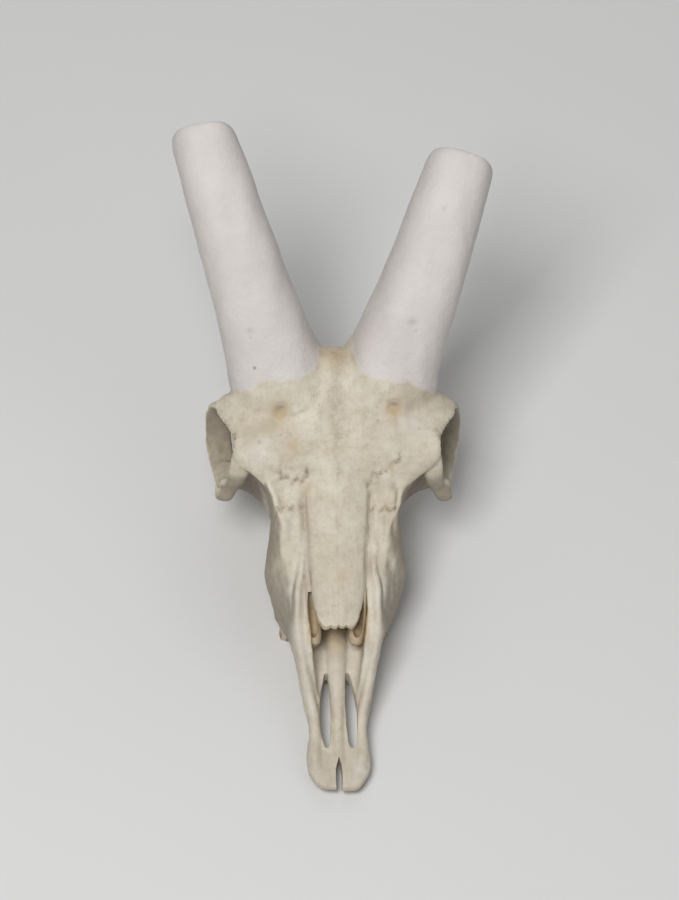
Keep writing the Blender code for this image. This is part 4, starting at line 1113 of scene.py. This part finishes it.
def painted(piece):
    """Stores on a piece's points how much chalk white with painted light, tan stain, brown grime with painted
    shade, and cracks each has, as one colour's red, green, blue and alpha."""
    mesh = piece.data
    points, normals, links = points_of(mesh), normals_of(mesh), links_of(mesh)
    x, y, z = points.T
    across = np.abs(x)
    roof = on_roof(points, normals)
    start = knot_values(COAT_START, across)
    start += COAT_WOBBLE * (clouds(points, 9, 5) + 0.5 * clouds(points, 3, 6))
    core_coat = rise(core_rise(points) - start, -COAT_BLUR, COAT_BLUR) * rise(z, 99, 103)
    # The coat's white also paints the pale places, and painted light into the nose's trough.
    coat_and_painted_light = strongest(points, PALE_PLACES, core_coat)
    stain = strongest(points, STAINS, np.zeros(len(points)))
    # Darker where a point lies deep in a hollow.
    depth = ((eased(points, links, HOLLOW_EASING) - points) * normals).sum(axis=1)
    dirt_and_shade = DIRT_AND_SHADE["hollows"] * rise(depth, 0.12, 0.7)
    for hole_x, hole_y in BROW_HOLES:
        inside = band(x - hole_x, 4.4) * band(y - hole_y, 3.2) * roof
        stain = np.maximum(stain, inside)
        dirt_and_shade *= 1 - 0.9 * inside
        dirt_and_shade += DIRT_AND_SHADE["hole"] * band(x - hole_x, 2.8) * band(y - hole_y - 2.6, 0.9) * roof
    cracks = np.zeros(len(points))
    for seed, seam in enumerate(SEAMS):
        line = jagged(seam, SEAM_STEP, SEAM_SWING, seed)
        cracks = np.maximum(cracks, near_line(points, line, SEAM_HALF_WIDTH) * roof)
    cracks *= 0.25 + 0.75 * rise(clouds(points, 3.4, 15), -0.15, 0.25)
    upward = rise(normals[:, 2], 0, 0.3)
    for seam in EDGE_SEAMS:
        cracks = np.maximum(cracks, 0.8 * near_line(points, seam, SEAM_HALF_WIDTH) * upward)
    stain = np.maximum(stain, TAN_STAIN["seams"] * cracks)
    dirt_and_shade += DIRT_AND_SHADE["seams"] * cracks
    cracks = np.maximum(cracks, 0.30 * near_line(points, MIDDLE_SEAM, 3.5) * roof)
    cracks = np.maximum(cracks, 0.5 * near(points, CROWN_CRACKS, 7))
    dirt_and_shade += DIRT_AND_SHADE["middle seam"] * near_line(points, MIDDLE_SEAM, 5.0) * roof * rise(y, 176, 186)
    for spot_x, spot_y, reach in SPOTS:
        dirt_and_shade += DIRT_AND_SHADE["spots"] * band(x - spot_x, reach) * band(y - spot_y, reach) * roof
    outside = across - knot_values(NOSE_HALF, y) - NOSE_SUTURE_MARGIN
    dirt_and_shade += DIRT_AND_SHADE["nose groove"] * band(outside - 0.5, 1.2) * within(y, 100, 112, 150, 166) * roof
    trough = (1 - rise(across, 13, 17)) * within(y, 30, 45, 84, 92)
    dirt_and_shade *= 1 - 0.8 * trough
    inside_nose = (1 - rise(across, 16, 19)) * within(y, 78, 87, 140, 160) * within(z, 22, 29, 60, 68)
    inside_nose *= 1 - rise(normals[:, 2], 0.2, 0.5) * rise(z, 50, 55)
    tan = np.maximum(TAN_STAIN["inside the nose"] * inside_nose, TAN_STAIN["trough"] * trough)
    stain = np.maximum(stain, tan)
    # Painted shade: the socket and the hollow behind it, below the brow, are darkened.
    socket = within(across, 20, 30, 44, 58) * within(y, 168, 178, 240, 250) * (1 - rise(z, 92, 98))
    dirt_and_shade += DIRT_AND_SHADE["socket"] * socket
    # Painted shade: the ring below the brow is darkened where it does not face outward.
    ring = rise(across, 48, 56) * within(y, 178, 208, 224, 232) * (1 - rise(z, 90, 93))
    dirt_and_shade += DIRT_AND_SHADE["ring"] * ring * (1 - rise(normals[:, 0] * np.sign(x), 0.5, 0.9))
    # Painted shade: the wall before the eye that faces forward and down is darkened.
    forward_wall_shade = rise(-normals[:, 1], 0.25, 0.7) * rise(across, 34, 42) * within(y, 158, 166, 190, 200)
    dirt_and_shade += DIRT_AND_SHADE["before the eye"] * forward_wall_shade * within(z, 40, 44, 79, 86)
    # Painted shade: faces on the sides of the face that look sideways are darkened. The beak also grows
    # darker towards its tip.
    flank_shade = rise(np.abs(normals[:, 0]), 0.5, 0.95) * within(y, 84, 100, 162, 176) * rise(across, 20, 26)
    dirt_and_shade += DIRT_AND_SHADE["flank_shade"] * flank_shade + DIRT_AND_SHADE["beak"] * (1 - rise(y, 26, 44))
    dirt_and_shade += DIRT_AND_SHADE["bars"] * (1 - rise(y, 60, 90)) * rise(across, 12, 16)
    dirt_and_shade *= 1 - core_coat
    dirt_and_shade += DIRT_AND_SHADE["pin hole"] * near(points, PIN_HOLE, 0.8)
    for centre, reach, _ in CORE_PITS:
        dirt_and_shade += DIRT_AND_SHADE["core pits"] * near(points, centre, reach * 0.7)
    for name in SIDES:
        open_face = sponge(points, name)
        coat_and_painted_light *= 1 - 0.8 * open_face
        stain = np.maximum(stain, TAN_STAIN["sponge"] * open_face)
    colours = np.clip(np.stack([coat_and_painted_light, stain, dirt_and_shade, cracks], axis=1), 0, 1).astype(np.float32)
    layer = mesh.attributes.new("marks", "FLOAT_COLOR", "POINT")
    layer.data.foreach_set("color", colours.ravel())


def two_tone(tree, share, low, high, dark, light):
    """A colour that goes from dark to light as a share goes from low to high."""
    ramp = node(tree, "ValToRGB", Fac=share)
    ramp.color_ramp.elements[0].position, ramp.color_ramp.elements[1].position = low, high
    ramp.color_ramp.elements[0].color, ramp.color_ramp.elements[1].color = (*dark, 1), (*light, 1)
    return ramp.outputs["Color"]


def mixed(tree, share, first, second, way="MIX"):
    """Two colours mixed by a share."""
    made = tree.nodes.new("ShaderNodeMix")
    made.data_type, made.blend_type = "RGBA", way
    for socket, value in zip((made.inputs[0], made.inputs[6], made.inputs[7]), (share, first, second)):
        if isinstance(value, bpy.types.NodeSocket):
            tree.links.new(value, socket)
        else:
            socket.default_value = value
    return made.outputs[2]


def scaled(tree, value, factor):
    """A value times a factor, kept between 0 and 1."""
    made = tree.nodes.new("ShaderNodeMath")
    made.operation, made.use_clamp = "MULTIPLY", True
    tree.links.new(value, made.inputs[0])
    if isinstance(factor, bpy.types.NodeSocket):
        tree.links.new(factor, made.inputs[1])
    else:
        made.inputs[1].default_value = factor
    return made.outputs[0]


CREAM = (0.640, 0.590, 0.480)
BEIGE = (0.500, 0.440, 0.335)
MOTTLE = (0.43, 0.355, 0.245)
CHALK = (0.655, 0.614, 0.582)
CHALK_SHADE = (0.60, 0.56, 0.53)
TAN = (0.48, 0.345, 0.175)
BROWN = (0.10, 0.065, 0.04)
SPECK = (0.30, 0.23, 0.15)
TOOTH_BROWN = (0.27, 0.15, 0.09)
ENAMEL = (0.60, 0.52, 0.41)
FLOOR_GREY = (0.66, 0.66, 0.65)
BLACK = (0, 0, 0)
WHITE = (1, 1, 1)


def new_finish(name):
    """A material with its node tree and its shader."""
    material = bpy.data.materials.new(name)
    material.use_nodes = True
    return material, material.node_tree, material.node_tree.nodes["Principled BSDF"]


def skull_finish(name):
    """Dry matte bone with speckles, pores, stains, painted light and shade, and the chalky white of the horn
    cores.
    """
    material, tree, shader = new_finish(name)
    place = node(tree, "TexCoord").outputs["Object"]
    marks = tree.nodes.new("ShaderNodeAttribute")
    marks.attribute_name = "marks"
    split = node(tree, "SeparateColor", Color=marks.outputs["Color"])
    coat_and_painted_light, stain, dirt_and_shade = (split.outputs[k] for k in ("Red", "Green", "Blue"))
    cloud = node(tree, "TexNoise", Vector=place, Scale=38.0, Detail=6.0, Roughness=0.62).outputs["Fac"]
    colour = two_tone(tree, cloud, 0.34, 0.62, BEIGE, CREAM)
    mottle = node(tree, "TexNoise", Vector=place, Scale=190.0, Detail=5.0, Roughness=0.65).outputs["Fac"]
    patches = scaled(tree, two_tone(tree, mottle, 0.48, 0.66, BLACK, WHITE), 0.42)
    colour = mixed(tree, patches, colour, (*MOTTLE, 1))
    drawn_out = node(tree, "Mapping", Vector=place, Scale=(1.0, 0.12, 0.35)).outputs["Vector"]
    streak = node(tree, "TexNoise", Vector=drawn_out, Scale=420.0, Detail=4.0, Roughness=0.6).outputs["Fac"]
    streaks = scaled(tree, two_tone(tree, streak, 0.52, 0.70, BLACK, WHITE), 0.28)
    colour = mixed(tree, streaks, colour, (*MOTTLE, 1))
    speck = node(tree, "TexNoise", Vector=place, Scale=620.0, Detail=3.0, Roughness=0.7).outputs["Fac"]
    specks = scaled(tree, two_tone(tree, speck, 0.60, 0.70, BLACK, WHITE), 0.32)
    colour = mixed(tree, specks, colour, (*SPECK, 1))
    # Chalk white for the horn cores' coat and the pale places, and painted light in the nose's trough.
    colour = mixed(tree, coat_and_painted_light, colour, two_tone(tree, cloud, 0.35, 0.65, CHALK_SHADE, CHALK))
    colour = mixed(tree, scaled(tree, stain, 0.75), colour, (*TAN, 1))
    swirl = node(tree, "TexNoise", Vector=place, Scale=900.0, Detail=2.0).outputs["Color"]
    bent = tree.nodes.new("ShaderNodeVectorMath")
    bent.operation = "MULTIPLY_ADD"
    tree.links.new(swirl, bent.inputs[0])
    bent.inputs[1].default_value = (0.004, 0.004, 0.004)
    tree.links.new(place, bent.inputs[2])
    cells = node(tree, "TexVoronoi", Vector=bent.outputs["Vector"], Scale=400.0)
    cells.feature = "DISTANCE_TO_EDGE"
    lines = two_tone(tree, cells.outputs["Distance"], 0.02, 0.14, WHITE, BLACK)
    crack = scaled(tree, lines, marks.outputs["Alpha"])
    colour = mixed(tree, scaled(tree, crack, 0.5), colour, (*SPECK, 1))
    # Brown for dirt, darkening in hollows, and painted shade in the socket, on the ring, before the eye and
    # on the flanks.
    colour = mixed(tree, dirt_and_shade, colour, (*BROWN, 1))
    tree.links.new(colour, shader.inputs["Base Color"])
    grain = node(tree, "TexNoise", Vector=place, Scale=420.0, Detail=7.0, Roughness=0.68).outputs["Fac"]
    pore = node(tree, "TexVoronoi", Vector=place, Scale=480.0, Randomness=1.0).outputs["Distance"]
    pores = two_tone(tree, pore, 0.10, 0.26, BLACK, WHITE)
    rough_ground = mixed(tree, 0.3, mixed(tree, 0.5, grain, streak), pores)
    ground = mixed(tree, coat_and_painted_light, rough_ground, grain)
    ground = mixed(tree, crack, ground, (*BLACK, 1))
    bump = node(tree, "Bump", Height=ground, Strength=0.65, Distance=0.0008)
    tree.links.new(bump.outputs["Normal"], shader.inputs["Normal"])
    shader.inputs["Roughness"].default_value = 0.6
    return material


def tooth_finish():
    """Worn enamel with brown streaks."""
    material, tree, shader = new_finish("tooth_enamel")
    place = node(tree, "TexCoord").outputs["Object"]
    streak = node(tree, "Mapping", Vector=place, Scale=(1.0, 1.0, 0.25)).outputs["Vector"]
    stripes = node(tree, "TexNoise", Vector=streak, Scale=420.0, Detail=5.0, Roughness=0.6).outputs["Fac"]
    colour = two_tone(tree, stripes, 0.36, 0.6, TOOTH_BROWN, ENAMEL)
    tree.links.new(colour, shader.inputs["Base Color"])
    shader.inputs["Roughness"].default_value = 0.35
    return material


def finished(piece, finish):
    """Moves a piece to its place, smooths its shading and gives it its finish."""
    placed(piece)
    piece.data.shade_smooth()
    piece.data.set_sharp_from_angle(angle=math.radians(SHARP_ANGLE))
    piece.data.materials.clear()
    piece.data.materials.append(finish)


def dressed(made, finish):
    """Puts every bone in its place, with its finish, names it after the solid it stands for and hides that
    solid.
    """
    for name, piece in made.items():
        painted(piece)
        finished(piece, finish)
        piece.name = f"{name}_bone"
        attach(piece, "root")
        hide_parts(name)


def teeth_pieces(enamel):
    """The teeth of each side, ground flat where the skull rests on them."""
    for name, side in SIDES.items():
        row = joined(f"teeth_{name}", tooth_row(side))
        bm = bmesh.new()
        bm.from_mesh(row.data)
        geometry = [*bm.verts, *bm.edges, *bm.faces]
        bisected = bmesh.ops.bisect_plane(bm, geom=geometry, plane_co=(0, 0, FLOOR_LEVEL),
                                          plane_no=(0, 0, -1), clear_outer=True)
        rims = [item for item in bisected["geom_cut"] if isinstance(item, bmesh.types.BMEdge)]
        bmesh.ops.holes_fill(bm, edges=rims, sides=0)
        bmesh.ops.recalc_face_normals(bm, faces=bm.faces)
        bm.to_mesh(row.data)
        bm.free()
        finished(row, enamel)
        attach(row, "root")


def scroll_pieces(finish):
    """The scrolls of thin bone that show inside the nose."""
    for name, side in SIDES.items():
        made = scroll(side)
        made.name = f"nose_scroll_{name}"
        painted(made)
        finished(made, finish)
        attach(made, "root")


def floor():
    """A plain pale floor."""
    bm = bmesh.new()
    bmesh.ops.create_grid(bm, x_segments=1, y_segments=1, size=6)
    made = new_object("floor", bm)
    material, _, shader = new_finish("floor_paper")
    shader.inputs["Base Color"].default_value = (*FLOOR_GREY, 1)
    shader.inputs["Roughness"].default_value = 0.9
    made.data.materials.append(material)


def soft_light(name, at, towards, size, power):
    """A large square lamp that faces a point."""
    lamp = bpy.data.lights.new(name, "AREA")
    lamp.shape = "SQUARE"
    lamp.size = size
    lamp.energy = power
    made = linked(name, lamp)
    made.location = at
    made.rotation_mode = "QUATERNION"
    made.rotation_quaternion = (Vector(towards) - Vector(at)).to_track_quat("-Z", "Y")


def lights():
    """Soft studio light, strongest from above the camera on the picture's left."""
    middle = (0, 0, 0.08)
    soft_light("key", (-0.5, -0.8, 1.85), middle, 0.8, 31.5)
    soft_light("fill", (1.3, -0.9, 1.2), middle, 1.4, 4)
    soft_light("back", (0.2, 1.4, 1.3), middle, 1.2, 5)
    world = bpy.data.worlds.new("studio")
    world.use_nodes = True
    world.node_tree.nodes["Background"].inputs["Color"].default_value = (0.97, 0.97, 1.0, 1)
    world.node_tree.nodes["Background"].inputs["Strength"].default_value = 0.2
    bpy.context.scene.world = world
    bpy.context.scene.view_settings.view_transform = "Standard"


def camera():
    """The photograph's view, from high in front of the snout."""
    azimuth, elevation = math.radians(CAMERA_AZIMUTH), math.radians(CAMERA_ELEVATION)
    back = Vector((math.sin(azimuth) * math.cos(elevation), -math.cos(azimuth) * math.cos(elevation),
                   math.sin(elevation)))
    lens = bpy.data.cameras.new("photo_camera")
    lens.sensor_fit = "VERTICAL"
    lens.sensor_height = 36.0
    lens.lens = lens.sensor_height * CAMERA_DISTANCE / CAMERA_FRAME_HEIGHT
    lens.clip_start, lens.clip_end = 0.1, 50
    made = linked("photo_camera", lens)
    made.location = (CAMERA_TARGET + SHIFT) * MM + back * CAMERA_DISTANCE
    made.rotation_mode = "QUATERNION"
    roll = Quaternion((0, 0, 1), math.radians(CAMERA_ROLL))
    made.rotation_quaternion = (-back).to_track_quat("-Z", "Y") @ roll
    bpy.context.scene.camera = made


whole = whole_skull()
skull_bones = bones(whole)
skull_surface = skull_finish("dry_bone_and_coat")
dressed(skull_bones, skull_surface)
teeth_pieces(tooth_finish())
scroll_pieces(skull_surface)
floor()
lights()
camera()
